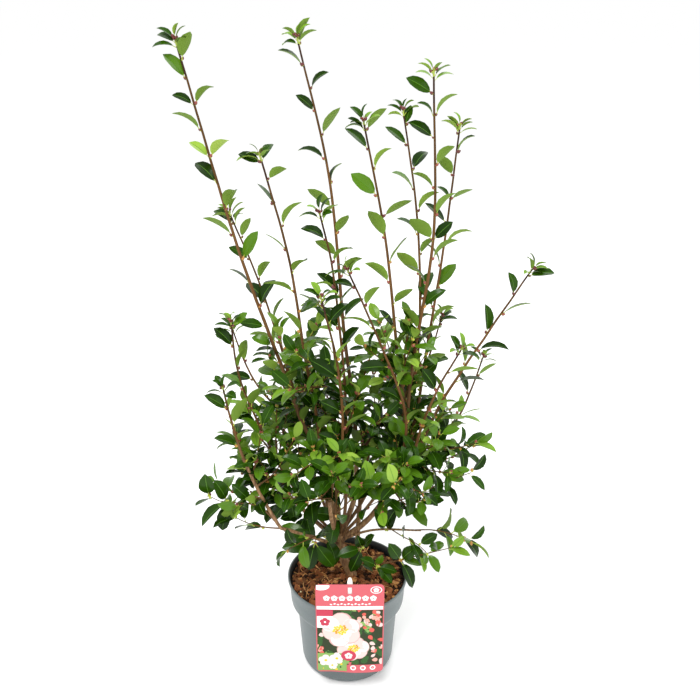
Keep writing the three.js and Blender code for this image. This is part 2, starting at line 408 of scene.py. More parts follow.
@dataclass
class Path:
    """A smooth line through space, with a frame at each of its points."""

    points: np.ndarray
    lengths: np.ndarray = field(init=False)
    tangents: np.ndarray = field(init=False)
    sides: np.ndarray = field(init=False)
    ups: np.ndarray = field(init=False)

    def __post_init__(self) -> None:
        """Works out the lengths and the frames, each turned as little as can be from the one before."""
        steps = np.linalg.norm(np.diff(self.points, axis=0), axis=1)
        self.lengths = np.concatenate([[0.0], np.cumsum(steps)])
        self.tangents = np.gradient(self.points, self.lengths, axis=0)
        self.tangents /= np.linalg.norm(self.tangents, axis=1)[:, None]
        across = np.array([0.0, 1.0, 0.0]) if abs(self.tangents[0][1]) < 0.9 else np.array([1.0, 0.0, 0.0])
        sides = []
        for tangent in self.tangents:
            across = across - tangent * (across @ tangent)
            across = across / np.linalg.norm(across)
            sides.append(across)
        self.sides = np.array(sides)
        self.ups = np.cross(self.tangents, self.sides)

    @classmethod
    def through(cls, route: list[tuple[float, float, float]], spacing: float = 4.0) -> "Path":
        """Lays a path through points given in millimetres.

        Args:
            route: The points.
            spacing: The distance between the path's own points.

        Returns:
            The path, in metres.
        """
        knots = np.array(route, float) * MM
        ends = np.vstack([2 * knots[0] - knots[1], knots, 2 * knots[-1] - knots[-2]])
        t = np.linspace(0, 1, 17)[:-1, None]
        runs = []
        for a, b, c, d in zip(ends[:-3], ends[1:-2], ends[2:-1], ends[3:]):
            square, cube = 2 * a - 5 * b + 4 * c - d, 3 * b - a - 3 * c + d
            runs.append(0.5 * (2 * b + (c - a) * t + square * t**2 + cube * t**3))
        fine = np.vstack([*runs, knots[-1:]])
        along = np.concatenate([[0.0], np.cumsum(np.linalg.norm(np.diff(fine, axis=0), axis=1))])
        count = max(6, round(along[-1] / (spacing * MM)))
        even = np.linspace(0, along[-1], count)
        return cls(np.stack([np.interp(even, along, fine[:, k]) for k in range(3)], axis=1))

    @property
    def length(self) -> float:
        """The whole length."""
        return float(self.lengths[-1])

    def sample(self, values: np.ndarray, distances: np.ndarray) -> np.ndarray:
        """Reads one of the path's rows of vectors at distances along it.

        Args:
            values: The points, tangents, sides or ups.
            distances: How far along.

        Returns:
            One vector for each distance.
        """
        return np.stack([np.interp(distances, self.lengths, values[:, k]) for k in range(3)], axis=-1)

    def zigzag(self, pitch: float, swing: float) -> "Path":
        """Kinks the path a little to one side and the other at each node.

        Args:
            pitch: The distance between nodes.
            swing: How far each kink goes.

        Returns:
            The kinked path.
        """
        wave = np.abs(((self.lengths / pitch) % 2) - 1) - 0.5
        fade = np.clip(self.lengths / (2 * pitch), 0, 1)
        return Path(self.points + self.sides * (wave * fade * swing)[:, None])


@lru_cache(maxsize=None)
def rod(sides: int, rings: int, bands: tuple[float, ...] = ()) -> Shape:
    """Makes a straight round rod of radius and length 1, from the origin up Z.

    Args:
        sides: Its sides.
        rings: Its rings.
        bands: Shares of the length where the next kind of face begins.

    Returns:
        The rod, closed at both ends.
    """
    bm = bmesh.new()
    ring = bmesh.ops.create_circle(bm, cap_ends=True, segments=sides, radius=1.0)["verts"]
    edges = list(bm.edges)
    step = 1.0 / (rings - 1)
    for _ in range(rings - 1):
        grown = bmesh.ops.extrude_edge_only(bm, edges=edges)["geom"]
        ring = [g for g in grown if isinstance(g, bmesh.types.BMVert)]
        edges = [g for g in grown if isinstance(g, bmesh.types.BMEdge) and all(v in ring for v in g.verts)]
        bmesh.ops.translate(bm, verts=ring, vec=(0, 0, step))
    bmesh.ops.contextual_create(bm, geom=edges)
    bmesh.ops.recalc_face_normals(bm, faces=bm.faces)
    for face in bm.faces:
        height = face.calc_center_median().z
        face.material_index = sum(height > band for band in bands)
    return Shape.of(bm)


def along(shape: Shape, path: Path, radius_at: np.ndarray) -> np.ndarray:
    """Bends a rod along a path.

    Args:
        shape: The rod.
        path: The path.
        radius_at: The radius at each of the path's points.

    Returns:
        Where the rod's points go.
    """
    distances = shape.points[:, 2] * path.length
    radius = np.interp(distances, path.lengths, radius_at)[:, None]
    across = path.sample(path.sides, distances) * shape.points[:, :1]
    upwards = path.sample(path.ups, distances) * shape.points[:, 1:2]
    return path.sample(path.points, distances) + (across + upwards) * radius


# ------------------------------------------------------------ leaves, buds


# A leaf's stalk as a share of the blade's length, and the gap between it and the stem's middle.
STALK_SHARE = 0.13
STEM_GAP = 0.8


@dataclass(frozen=True)
class LeafBlade:
    """One pattern of leaf, 1 long from the stalk's end to the tip: elliptic, with a drawn-out tip."""

    width: float = 0.26
    fold: float = 12.0
    curl: float = 36.0
    sway: float = 0.0

    # Share of the length, share of the half width.
    OUTLINE = (
        (0.0, 0.0), (0.1, 0.46), (0.25, 0.85), (0.44, 1.0),
        (0.63, 0.94), (0.8, 0.68), (0.93, 0.28), (1.0, 0.0),
    )
    # Columns of points across the blade, as shares of its half width.
    RIB = 0.045
    QUILT = 0.55
    UPPER_COLUMNS = (-1.0, -QUILT, -RIB, RIB, QUILT, 1.0)
    LOWER_COLUMNS = (-1.0, 0.0, 1.0)
    # Heights as shares of the length.
    EDGE_WAVE = 0.006
    QUILT_WAVE = 0.009
    RIB_GROOVE = 0.005
    UPPER_RISE = 0.008
    LOWER_DROP = 0.012
    # Share of the curl that rises before the blade bends down.
    CURL_START = 0.32

    def shape(self) -> Shape:
        """Makes the leaf.

        Returns:
            The leaf, with kinds 0 upper face, 1 lower face, 2 midrib and 3 stalk.
        """
        bm = bmesh.new()
        self.add_sheet(bm, self.UPPER_COLUMNS, 1)
        self.add_sheet(bm, self.LOWER_COLUMNS, -1)
        bmesh.ops.remove_doubles(bm, verts=bm.verts, dist=1e-5)
        self.add_stalk(bm)
        return Shape.of(bm)

    def add_sheet(self, bm: bmesh.types.BMesh, columns: tuple[float, ...], face: int) -> None:
        """Adds one face of the blade, which meets the other along its edge.

        Args:
            bm: The mesh.
            columns: The columns of points across it, as shares of the half width.
            face: 1 for the upper face and -1 for the lower.
        """
        rows, gaps = len(self.OUTLINE) - 1, len(columns) - 1
        centre = self.centre_line()
        verts = bmesh.ops.create_grid(bm, x_segments=gaps, y_segments=rows, size=1.0)["verts"]
        sheet = list({f for v in verts for f in v.link_faces})
        if face < 0:
            bmesh.ops.reverse_faces(bm, faces=sheet)
        for patch in sheet:
            middle = face > 0 and abs(patch.calc_center_median().x) < 0.05
            patch.material_index = 2 if middle else int(face < 0)
        for vert in verts:
            column = round((vert.co.x + 1) / 2 * gaps)
            row = round((vert.co.y + 1) / 2 * rows)
            vert.co = self.place(centre, row, columns[column], face)

    def centre_line(self) -> list[tuple[Vector, Vector]]:
        """Lays out the midrib, which rises first and then curls down.

        Returns:
            The midrib's points and the leaf's normals there.
        """
        point, line, before = Vector((0.0, 0.0, 0.0)), [], 0.0
        for share, _ in self.OUTLINE:
            slope = math.radians(self.curl * (self.CURL_START - share))
            middle = math.radians(self.curl * (self.CURL_START - (share + before) / 2))
            point = point + Vector((0, math.cos(middle), math.sin(middle))) * (share - before)
            before = share
            sideways = Vector((self.sway * share**2, 0, 0))
            line.append((point + sideways, Vector((0, -math.sin(slope), math.cos(slope)))))
        return line

    def place(self, centre: list[tuple[Vector, Vector]], row: int, across: float, face: int) -> Vector:
        """Works out where a point of the blade lies.

        Args:
            centre: The midrib's points and normals.
            row: The row along the leaf.
            across: The share of the half width.
            face: 1 for the upper face and -1 for the lower.

        Returns:
            The place.
        """
        point, normal = centre[row]
        _, half = self.OUTLINE[row]
        wave = 1 if row % 2 else -1
        ripple = self.EDGE_WAVE * wave * (abs(across) == 1.0) * min(1.0, half * 2)
        out = across * (half * self.width + ripple)
        lift = abs(out) * math.tan(math.radians(self.fold))
        if abs(across) == 1.0 or half == 0.0:
            return point + Vector((out, 0, 0)) + normal * lift
        quilt = self.QUILT_WAVE * wave * (abs(across) == self.QUILT)
        groove = self.RIB_GROOVE * (abs(across) == self.RIB)
        thickness = self.UPPER_RISE if face > 0 else -self.LOWER_DROP
        return point + Vector((out, 0, 0)) + normal * (lift + quilt - groove + thickness)

    def add_stalk(self, bm: bmesh.types.BMesh) -> None:
        """Adds the short stalk below the blade.

        Args:
            bm: The mesh.
        """
        foot = Matrix.Translation((0, -STALK_SHARE, -0.04)) @ Matrix.Rotation(math.radians(-72), 4, "X")
        stalk = bmesh.ops.create_cone(
            bm, cap_ends=True, segments=4, radius1=0.021, radius2=0.015, depth=0.2,
            matrix=foot @ Matrix.Translation((0, 0, 0.1)),
        )["verts"]
        for face in {f for v in stalk for f in v.link_faces}:
            face.material_index = 3


BLADES = [
    LeafBlade(0.26, 12, 34, 0.0),
    LeafBlade(0.27, 8, 26, 0.03),
    LeafBlade(0.245, 18, 50, -0.02),
    LeafBlade(0.265, 10, 18, -0.04),
    LeafBlade(0.25, 22, 36, 0.04),
    LeafBlade(0.24, 14, 64, 0.02),
    LeafBlade(0.2, 20, 74, -0.02),
]
CURLED_BLADES = (2, 5, 6)


def bud_shape() -> Shape:
    """Makes a bud 1 long, plump below and pointed above.

    Returns:
        The bud, with kinds 0 bud and 1 the green scales at its foot.
    """
    bm = bmesh.new()
    bmesh.ops.create_uvsphere(bm, u_segments=7, v_segments=6, radius=0.5)
    for vert in bm.verts:
        height = vert.co.z + 0.5
        waist = 0.78 * (1 - 0.45 * height**2.2)
        vert.co = Vector((vert.co.x * waist, vert.co.y * waist, height))
    for face in bm.faces:
        face.material_index = int(face.calc_center_median().z < 0.22)
    return Shape.of(bm)


@dataclass
class Leaf:
    """One leaf: its foot, the way it points, the way its upper face looks, its length and its tint."""

    foot: np.ndarray
    axis: np.ndarray
    facing: np.ndarray
    length: float
    tint: LeafTint
    pattern: int


@dataclass
class Bud:
    """One bud: its foot, the way it points, its length and its tint."""

    foot: np.ndarray
    axis: np.ndarray
    length: float
    tint: BudTint


@dataclass
class Twig:
    """One woody stem: its path and its radius at the foot and at the tip."""

    path: Path
    foot: float
    tip: float
    leader: bool = False


def unit(vector: np.ndarray) -> np.ndarray:
    """Returns the vector made 1 long."""
    return vector / max(float(np.linalg.norm(vector)), 1e-9)


# --------------------------------------------------------- limbs and masses


@dataclass(frozen=True)
class LimbPlan:
    """One limb of the frame: its node, its centre line and its radius at foot and tip."""

    node: str
    route: tuple[tuple[float, float, float], ...]
    radii: tuple[float, float]
    flare: float = 1.0


LIMBS = [
    LimbPlan("trunk", ((8, 2, 154), (-10, 4, 198), (-14, 2, 240)), (6.2, 8.6), 1.4),
    LimbPlan("stem_behind", ((22, 18, 154), (16, 21, 200), (22, 42, 300)), (4.2, 3.2), 1.5),
    LimbPlan("bough_left", ((-17, 0, 226), (-23, -1, 288), (-24, -2, 352)), (4.8, 3.4)),
    LimbPlan("bough_centre", ((-12, 5, 226), (12, 12, 300), (14, 14, 372)), (4.6, 3.2)),
    LimbPlan("bough_right", ((-11, 0, 224), (36, 0, 268), (88, -4, 360)), (4.8, 3.2)),
    LimbPlan("bough_front", ((-14, -4, 228), (-22, -34, 278), (-26, -62, 338)), (3.6, 2.6)),
    LimbPlan("bough_back", ((-12, 7, 230), (-18, 62, 288), (-32, 102, 352)), (3.8, 2.8)),
    LimbPlan("bough_left_low", ((-16, 3, 222), (-62, 8, 268), (-112, 6, 330)), (3.6, 2.6)),
    LimbPlan("arch_low", ((-15, -4, 216), (-58, -30, 254), (-99, -52, 284)), (3.2, 2.5)),
    LimbPlan("arch_rise", (
        (-97, -51, 282), (-104, -54, 296), (-124, -63, 348), (-145, -77, 418),
    ), (2.6, 2.3)),
    LimbPlan("twig_right_low", ((-8, -3, 228), (41, -9, 250), (112, -30, 264)), (2.0, 1.3)),
]


@dataclass(frozen=True)
class LeaderPlan:
    """One long shoot: the slim mass that it fills and its route from a limb to its tip."""

    node: str
    route: tuple[tuple[float, float, float], ...]
    foot_radius: float = 2.6
    fresh: float = 0.5
    bare: float = 60.0


LEADERS = [
    LeaderPlan("plume_far_left", (
        (-24, -2, 350), (-62, -3, 425), (-86, -5, 505), (-146, -10, 706), (-206, -20, 968),
    ), 3.4),
    LeaderPlan("plume_left_behind", (
        (-18, 6, 234), (-46, 34, 300), (-66, 54, 390), (-92, 62, 500), (-130, 86, 622), (-172, 110, 722),
    ), 2.7, 0.5, 150),
    LeaderPlan("plume_left_inner", (
        (-17, -3, 236), (-32, -10, 310), (-44, -14, 450), (-58, -25, 548), (-74, -54, 700),
        (-104, -80, 842),
    ), 3.2, 0.5, 130),
    LeaderPlan("plume_centre_tall", (
        (14, 14, 366), (10, 20, 450), (-4, 32, 560), (-24, 58, 780), (-66, 85, 964),
    ), 3.3),
    LeaderPlan("plume_centre_short", (
        (-10, -2, 238), (-2, -10, 310), (-2, -6, 470), (-10, -20, 590), (-20, -36, 690), (-35, -50, 764),
    ), 2.9, 0.5, 130),
    LeaderPlan("plume_centre_right", (
        (80, -3, 340), (84, 2, 450), (72, 6, 540), (52, 8, 710), (21, 10, 868),
    ), 3.2),
    LeaderPlan("plume_right_inner", (
        (-8, 6, 236), (30, 16, 300), (72, 24, 400), (100, 34, 490), (106, 56, 600), (99, 88, 730),
        (79, 135, 864),
    ), 3.0, 0.5, 150),
    LeaderPlan("plume_right_tall", (
        (86, -4, 356), (88, 0, 450), (96, -2, 550), (115, -10, 724), (106, -20, 930),
    ), 3.4),
    LeaderPlan("plume_right_twin", (
        (88, -4, 358), (106, 26, 450), (118, 44, 540), (138, 68, 680), (156, 95, 848),
    ), 2.7),
    LeaderPlan("plume_centre_front", (
        (-8, -3, 236), (30, -16, 296), (70, -26, 374), (84, -32, 424), (78, -42, 490), (40, -62, 598),
        (0, -84, 700),
    ), 2.9, 0.5, 140),
    LeaderPlan("plume_front_right", (
        (84, -4, 352), (96, -33, 398), (106, -50, 458), (126, -70, 530), (150, -90, 592),
    ), 2.7),
    LeaderPlan("plume_far_right", (
        (88, -4, 360), (107, 1, 390), (140, 3, 470), (198, 7, 572), (256, 10, 670),
    ), 3.0),
    LeaderPlan("plume_right_low", (
        (62, -2, 312), (110, 20, 352), (150, 37, 392), (180, 56, 434), (208, 80, 506),
    ), 2.5),
    LeaderPlan("plume_front", (
        (-20, -28, 270), (-14, -40, 360), (-6, -52, 450), (-12, -78, 560), (-32, -113, 672),
    ), 2.8),
    LeaderPlan("plume_left", (
        (-18, -1, 234), (-56, -6, 286), (-86, -14, 340), (-112, -18, 400), (-150, -26, 516),
        (-158, -30, 608),
    ), 2.7, 0.5, 110),
    LeaderPlan("plume_arch", (
        (-142, -75, 408), (-150, -82, 446), (-157, -90, 490), (-163, -100, 540),
    ), 2.3, 0.7, 5),
    LeaderPlan("plume_back", (
        (-30, 98, 346), (-24, 110, 410), (-20, 120, 480), (-30, 142, 530), (-46, 156, 562),
    ), 2.6),
    LeaderPlan("plume_back_right", (
        (14, 14, 366), (62, 80, 400), (112, 120, 440), (136, 136, 500), (150, 148, 546),
    ), 2.6),
    LeaderPlan("plume_back_left", (
        (-32, 102, 350), (-80, 110, 380), (-130, 112, 420), (-162, 128, 470), (-182, 140, 528),
    ), 2.6),
]


@dataclass(frozen=True)
class SprigPlan:
    """One low twig that stands clear of the crown: the mass that it fills, its route and its leaves."""

    node: str
    route: tuple[tuple[float, float, float], ...]
    leaves: int
    size: float = 1.0
    foot_radius: float = 1.4


SPRIGS = [
    SprigPlan("spray_front_low", ((6, 1, 170), (20, -6, 184), (38, -22, 196), (46, -30, 198)), 2, 0.7),
    SprigPlan("spray_front_low", ((-6, -4, 222), (8, -8, 222), (20, -16, 226), (23, -26, 230)), 0, 0.9),
    SprigPlan("spray_right_low", (
        (38, -22, 196), (60, -28, 202), (82, -36, 214), (119, -60, 244), (152, -78, 268),
    ), 6, 0.8),
    SprigPlan("spray_right_low", (
        (100, -26, 262), (130, -34, 268), (156, -44, 268), (184, -56, 264),
    ), 7, 1.05, 1.2),
    SprigPlan("spray_right_low", (
        (66, -14, 256), (84, -34, 256), (104, -52, 256), (118, -66, 250),
    ), 4, 0.95, 1.0),
    SprigPlan("spray_right_low", ((60, -8, 296), (100, -23, 322), (137, -40, 354), (178, -58, 384)), 7, 0.95),
    SprigPlan("spray_left_front", (
        (-16, -4, 232), (-34, -10, 240), (-47, -18, 242), (-50, -26, 240),
    ), 0, 1.0),
    SprigPlan("spray_left_front", (
        (-30, -8, 244), (-52, -36, 256), (-74, -62, 262), (-88, -76, 262),
    ), 5, 1.05),
    SprigPlan("crown_left_low", (
        (-110, -56, 304), (-127, -60, 328), (-150, -62, 334), (-184, -62, 338), (-198, -62, 346),
    ), 3, 0.85),
    SprigPlan("crown_left_low", (
        (-97, -50, 282), (-120, -56, 288), (-146, -62, 300), (-162, -68, 314),
    ), 4, 0.95),
    SprigPlan("crown_back_low", ((22, 41, 297), (32, 58, 336), (56, 76, 388)), 7, 0.9, 2.9),
    SprigPlan("crown_back_low", ((21, 37, 284), (6, 60, 318), (-14, 84, 352)), 6, 0.85, 2.0),
]


@dataclass(frozen=True)
class WhorlPlan:
    """A few large low leaves round one node of a twig, spread to the front.

    The angles run from straight right, anticlockwise as seen from the front, in degrees.
    """

    node: str
    hub: tuple[float, float, float]
    angles: tuple[float, ...]
    size: float = 1.0


WHORLS = [
    WhorlPlan("spray_left_front", (-50, -27, 240), (128, 184, 250, 308), 1.12),
    WhorlPlan("spray_left_front", (-34, -13, 240), (60, 298), 1.08),
    WhorlPlan("spray_front_low", (23, -27, 230), (66, 108, 186, 236), 0.86),
    WhorlPlan("spray_front_low", (46, -31, 198), (146, 318, 352), 0.74),
    WhorlPlan("spray_right_low", (82, -37, 214), (48, 114, 302), 0.98),
    WhorlPlan("spray_right_low", (60, -13, 253), (76, 114), 1.22),
    WhorlPlan("spray_left_front", (-15, -22, 286), (166, 256), 1.0),
    WhorlPlan("crown_left_low", (-199, -62, 347), (98,), 1.0),
    WhorlPlan("crown_left_low", (-174, -61, 338), (96, 222, 262), 1.12),
    WhorlPlan("crown_left_low", (-64, 6, 268), (188, 246, 290), 0.98),
    WhorlPlan("crown_left_low", (-88, 6, 298), (164, 222, 284), 0.96),
]


@dataclass(frozen=True)
class CrownPlan:
    """One mass of the dense crown: its node, how many twigs fill it, how leafy each is and how light its
    leaves' tints are, low values painting shade in the crown's heart and low front.
    """

    node: str
    twigs: int
    leaves: int = 8
    light: float = 0.3


# The last column is partly leaf age and partly painted shade: the middle and low front masses get darker leaf
# tints where the crown lies in shade.
CROWN = [
    CrownPlan("crown_front", 11, 8, 0.24),
    CrownPlan("crown_left", 13, 8, 0.29),
    CrownPlan("crown_right", 13, 8, 0.29),
    CrownPlan("crown_front_right", 10, 8, 0.26),
    CrownPlan("crown_back_left", 13, 8, 0.24),
    CrownPlan("crown_back_right", 13, 8, 0.24),
    CrownPlan("crown_middle", 9, 8, 0.2),
    CrownPlan("crown_top_left", 8, 8, 0.46),
    CrownPlan("crown_top_right", 8, 8, 0.46),
    CrownPlan("crown_left_low", 4, 6, 0.3),
    CrownPlan("crown_back_low", 8, 7, 0.26),
]

# Leaves of the crown keep clear of the fork, which shows from in front and above:
# no leaf this near the middle hangs below this height, raised by this slope towards the front.
FORK_HALF_WIDTH = 50.0
FORK_CLEAR_HEIGHT = 304.0
FORK_CLEAR_SLOPE = 0.72
FORK_CLEAR_DEPTH = 60.0
# Twigs of the crown start above this height, in metres.
FORK_TOP = 0.236


# ------------------------------------------------------------------ growth


@dataclass
class Shrub:
    """The growing plant: limbs first, then leaders, then the crown's twigs, with leaves and buds on them."""

    internode: float = 33.0
    leaf_length: float = 39.0
    crown_size: float = 0.89
    rise: float = 47.0
    limbs: dict[str, Path] = field(default_factory=dict)
    leaves: dict[str, list[Leaf]] = field(default_factory=dict)
    twigs: dict[str, list[Twig]] = field(default_factory=dict)
    buds: dict[str, list[Bud]] = field(default_factory=dict)

    def grow(self) -> None:
        """Grows the whole plant."""
        for plan in LIMBS:
            self.limbs[plan.node] = Path.through(list(plan.route), 3.0)
        for number, leader in enumerate(LEADERS):
            self.grow_leader(leader, np.random.default_rng(SEED + number))
        for number, sprig in enumerate(SPRIGS):
            rng = np.random.default_rng(SEED + 100 + number)
            path = Path.through(list(sprig.route))
            self.grow_twig(sprig.node, path, sprig.foot_radius, sprig.leaves, 0.34, rng, sprig.size)
        for number, whorl in enumerate(WHORLS):
            self.grow_whorl(whorl, np.random.default_rng(SEED + 150 + number))
        for number, crown in enumerate(CROWN):
            self.fill_mass(crown, np.random.default_rng(SEED + 200 + number))

    def region(self, node: str) -> tuple[list[Leaf], list[Twig], list[Bud]]:
        """Finds the lists that hold what grows in the place of a mass.

        Args:
            node: The mass.

        Returns:
            Its leaves, twigs and buds.
        """
        return (
            self.leaves.setdefault(node, []),
            self.twigs.setdefault(node, []),
            self.buds.setdefault(node, []),
        )

    def grow_leader(self, plan: LeaderPlan, rng: np.random.Generator) -> None:
        """Grows one long shoot with its alternate leaves, its buds and the rosette at its tip.

        Args:
            plan: The shoot's plan.
            rng: The shoot's own random draws.
        """
        pitch = self.internode * MM
        path = Path.through(list(plan.route), 3.5).zigzag(pitch, 1.6 * MM)
        self.region(plan.node)[1].append(Twig(path, plan.foot_radius * MM, 1.2 * MM, True))
        rank = int(rng.integers(2))
        distance = plan.bare * MM
        while distance < path.length - 9 * MM:
            share = distance / path.length
            smaller = 1.0 - 0.2 * max(0.0, share - 0.75) / 0.25
            size = self.leaf_length * rng.uniform(0.8, 1.12) * smaller
            tint = self.deal_tint(rng, 0.04 + 0.24 * share * plan.fresh * 2)
            rise = self.rise + rng.normal(0, 9)
            turn = math.radians(270 if rank else 90) + rng.normal(0, 0.4)
            twist = self.deal_twist(rank, rng)
            self.grow_leaf(plan.node, path, distance, turn, size, rise, tint, 0.18, rng, twist=twist)
            if rng.random() < 0.85:
                self.grow_buds(plan.node, path, distance, turn, rng, int(rng.integers(1, 4)), share)
            if share > 0.3 and rng.random() < 0.1:
                second = turn + math.pi * rng.uniform(0.8, 1.2)
                small, rise = size * 0.75, self.rise
                self.grow_leaf(plan.node, path, distance, second, small, rise, tint, 0.2, rng, twist=-twist)
            rank = 1 - rank
            closer = 1.0 - 0.45 * max(0.0, share - 0.85) / 0.15
            distance += pitch * rng.uniform(0.84, 1.12) * closer
        self.grow_rosette(plan.node, path, rank * math.pi, 0.66, rng, 6)

    def deal_twist(self, rank: int, rng: np.random.Generator) -> float:
        """Deals how a shoot's leaf turns on its stalk, so that most on the right show their pale face.

        Args:
            rank: 0 on the left and 1 on the right.
            rng: The random draws.

        Returns:
            The turn, above 0 if the pale face is in front.
        """
        pale = rng.random() < (0.72, 0.4)[1 - rank]
        return rng.uniform(0.35, 1.1) * (1 if pale else -1)

    def grow_rosette(
        self, node: str, path: Path, turn: float, size: float, rng: np.random.Generator, count: int
    ) -> None:
        """Grows the tuft of small leaves and buds at a tip.

        Args:
            node: The mass that it belongs to.
            path: The stem.
            turn: Where round the stem it starts.
            size: The leaves' size beside a full leaf.
            rng: The random draws.
            count: How many leaves.
        """
        for k in range(count):
            distance = path.length - (count - 1 - k) * 2.2 * MM
            length = self.leaf_length * size * rng.uniform(0.75, 1.15) * (1 - 0.06 * k)
            tint = LeafTint.BRIGHT if rng.random() < 0.35 else LeafTint.DEEP
            around = turn + math.pi / 2 + k * TWO_RANKS_TURN + rng.normal(0, 0.5)
            twist = rng.uniform(-0.5, 0.5)
            rise = 18 + 9 * k
            self.grow_leaf(
                node, path, distance, around, length, rise, tint, 0.2, rng, twist=twist, curled=True
            )
        for k in range(2):
            self.grow_buds(node, path, path.length - 2.5 * k * MM, turn + 2.0 + 1.7 * k, rng, 3, 0.95)

    def grow_whorl(self, plan: WhorlPlan, rng: np.random.Generator) -> None:
        """Grows the large leaves round one node of a low twig, and its buds.

        Args:
            plan: The whorl's plan.
            rng: Its own random draws.
        """
        leaves, _, buds = self.region(plan.node)
        hub = np.array(plan.hub) * MM
        for angle in plan.angles:
            way = math.radians(angle + rng.normal(0, 4))
            axis = unit(np.array([math.cos(way), -0.3, math.sin(way)]) + rng.normal(0, 0.08, 3))
            facing = UP * 0.8 - FRONT_TO_BACK * 0.75 + rng.normal(0, 0.22, 3)
            facing = unit(facing - axis * (facing @ axis))
            length = self.leaf_length * plan.size * rng.uniform(0.92, 1.1)
            foot = hub + axis * (length * STALK_SHARE + STEM_GAP) * MM
            tint = LeafTint.DEEP if rng.random() < 0.6 else LeafTint.DARK
            leaves.append(Leaf(foot, axis, facing, length * MM, tint, int(rng.integers(len(BLADES) - 1))))
        for _ in range(3):
            axis = unit(np.array([rng.normal(0, 0.6), -0.5, rng.normal(0.4, 0.4)]))
            length = rng.uniform(4.0, 6.0) * MM
            buds.append(Bud(hub, axis, length, BudTint.LIME if rng.random() < 0.7 else BudTint.AMBER))

    def deal_tint(self, rng: np.random.Generator, light: float) -> LeafTint:
        """Deals a leaf its tint.

        Args:
            rng: The random draws.
            light: 0 for the shaded heart of the crown and 1 for the freshest growth.

        Returns:
            The tint.
        """
        tints = list(LeafTint)
        rank = light * 3.2 + rng.normal(0, 0.95)
        return tints[int(np.clip(round(rank), 0, len(tints) - 1))]

    def grow_leaf(
        self, node: str, path: Path, distance: float, turn: float, length: float,
        rise: float, tint: LeafTint, to_light: float, rng: np.random.Generator,
        keep_clear: bool = False, twist: float = 0.0, curled: bool = False,
    ) -> None:
        """Grows one leaf from a stem.

        Args:
            node: The mass that it belongs to.
            path: The stem.
            distance: How far along the stem.
            turn: Where round the stem, in radians.
            length: The blade's length in millimetres.
            rise: The angle between the leaf and a square to the stem, in degrees.
            tint: Its tint.
            to_light: How far its upper face turns to the sky, from 0 to 1.
            rng: The random draws.
            keep_clear: Whether it is left out where it would hide the fork.
            twist: How far the blade turns on its stalk to face the back, or the front if below 0.
            curled: Whether it is one of the narrow, arching leaves of a tip.
        """
        at = np.array([distance])
        point = path.sample(path.points, at)[0]
        tangent = unit(path.sample(path.tangents, at)[0])
        side = unit(path.sample(path.sides, at)[0])
        up = np.cross(tangent, side)
        outward = math.cos(turn) * side + math.sin(turn) * up
        angle = math.radians(rise)
        axis = math.cos(angle) * outward + math.sin(angle) * tangent
        facing = -math.sin(angle) * outward + math.cos(angle) * tangent
        facing = facing * (1 - to_light) + UP * to_light * 1.4 + rng.normal(0, 0.12, 3)
        facing = facing + FRONT_TO_BACK * twist
        axis = unit(axis + rng.normal(0, 0.07, 3))
        facing = unit(facing - axis * (facing @ axis))
        foot = point + axis * (length * STALK_SHARE + STEM_GAP) * MM
        pattern = int(rng.choice(CURLED_BLADES if curled else len(BLADES)))
        if keep_clear and self.hides_fork(foot + axis * length * 0.5 * MM):
            return
        self.region(node)[0].append(Leaf(foot, axis, facing, length * MM, tint, pattern))

    def hides_fork(self, place: np.ndarray) -> bool:
        """Tells whether a place lies in front of the fork or the foot of the boughs.

        Args:
            place: The place, in metres.

        Returns:
            Whether it does.
        """
        x, y, z = place / MM
        lifted = z + FORK_CLEAR_SLOPE * y
        return abs(x) < FORK_HALF_WIDTH and y < FORK_CLEAR_DEPTH and lifted < FORK_CLEAR_HEIGHT

    def grow_buds(
        self, node: str, path: Path, distance: float, turn: float,
        rng: np.random.Generator, count: int, age: float,
    ) -> None:
        """Grows the buds that sit between a leaf and its stem.

        Args:
            node: The mass that they belong to.
            path: The stem.
            distance: How far along the stem.
            turn: Where round the stem, in radians.
            rng: The random draws.
            count: How many buds.
            age: 0 for the young, yellow buds low down and 1 for the red ones at the top.
        """
        tangent = unit(path.sample(path.tangents, np.array([distance]))[0])
        side = unit(path.sample(path.sides, np.array([distance]))[0])
        point = path.sample(path.points, np.array([distance]))[0]
        up = np.cross(tangent, side)
        tints = [BudTint.LIME, BudTint.AMBER, BudTint.CORAL, BudTint.RED]
        for k in range(count):
            around = turn + (k - (count - 1) / 2) * 0.8 + rng.normal(0, 0.15)
            outward = math.cos(around) * side + math.sin(around) * up
            axis = unit(outward * 0.75 + tangent * rng.uniform(0.5, 1.1))
            rank = int(np.clip(round(age * 3.4 + rng.normal(0, 0.5)), 0, 3))
            length = rng.uniform(3.6, 6.2) * MM
            self.region(node)[2].append(Bud(point + outward * 1.2 * MM, axis, length, tints[rank]))

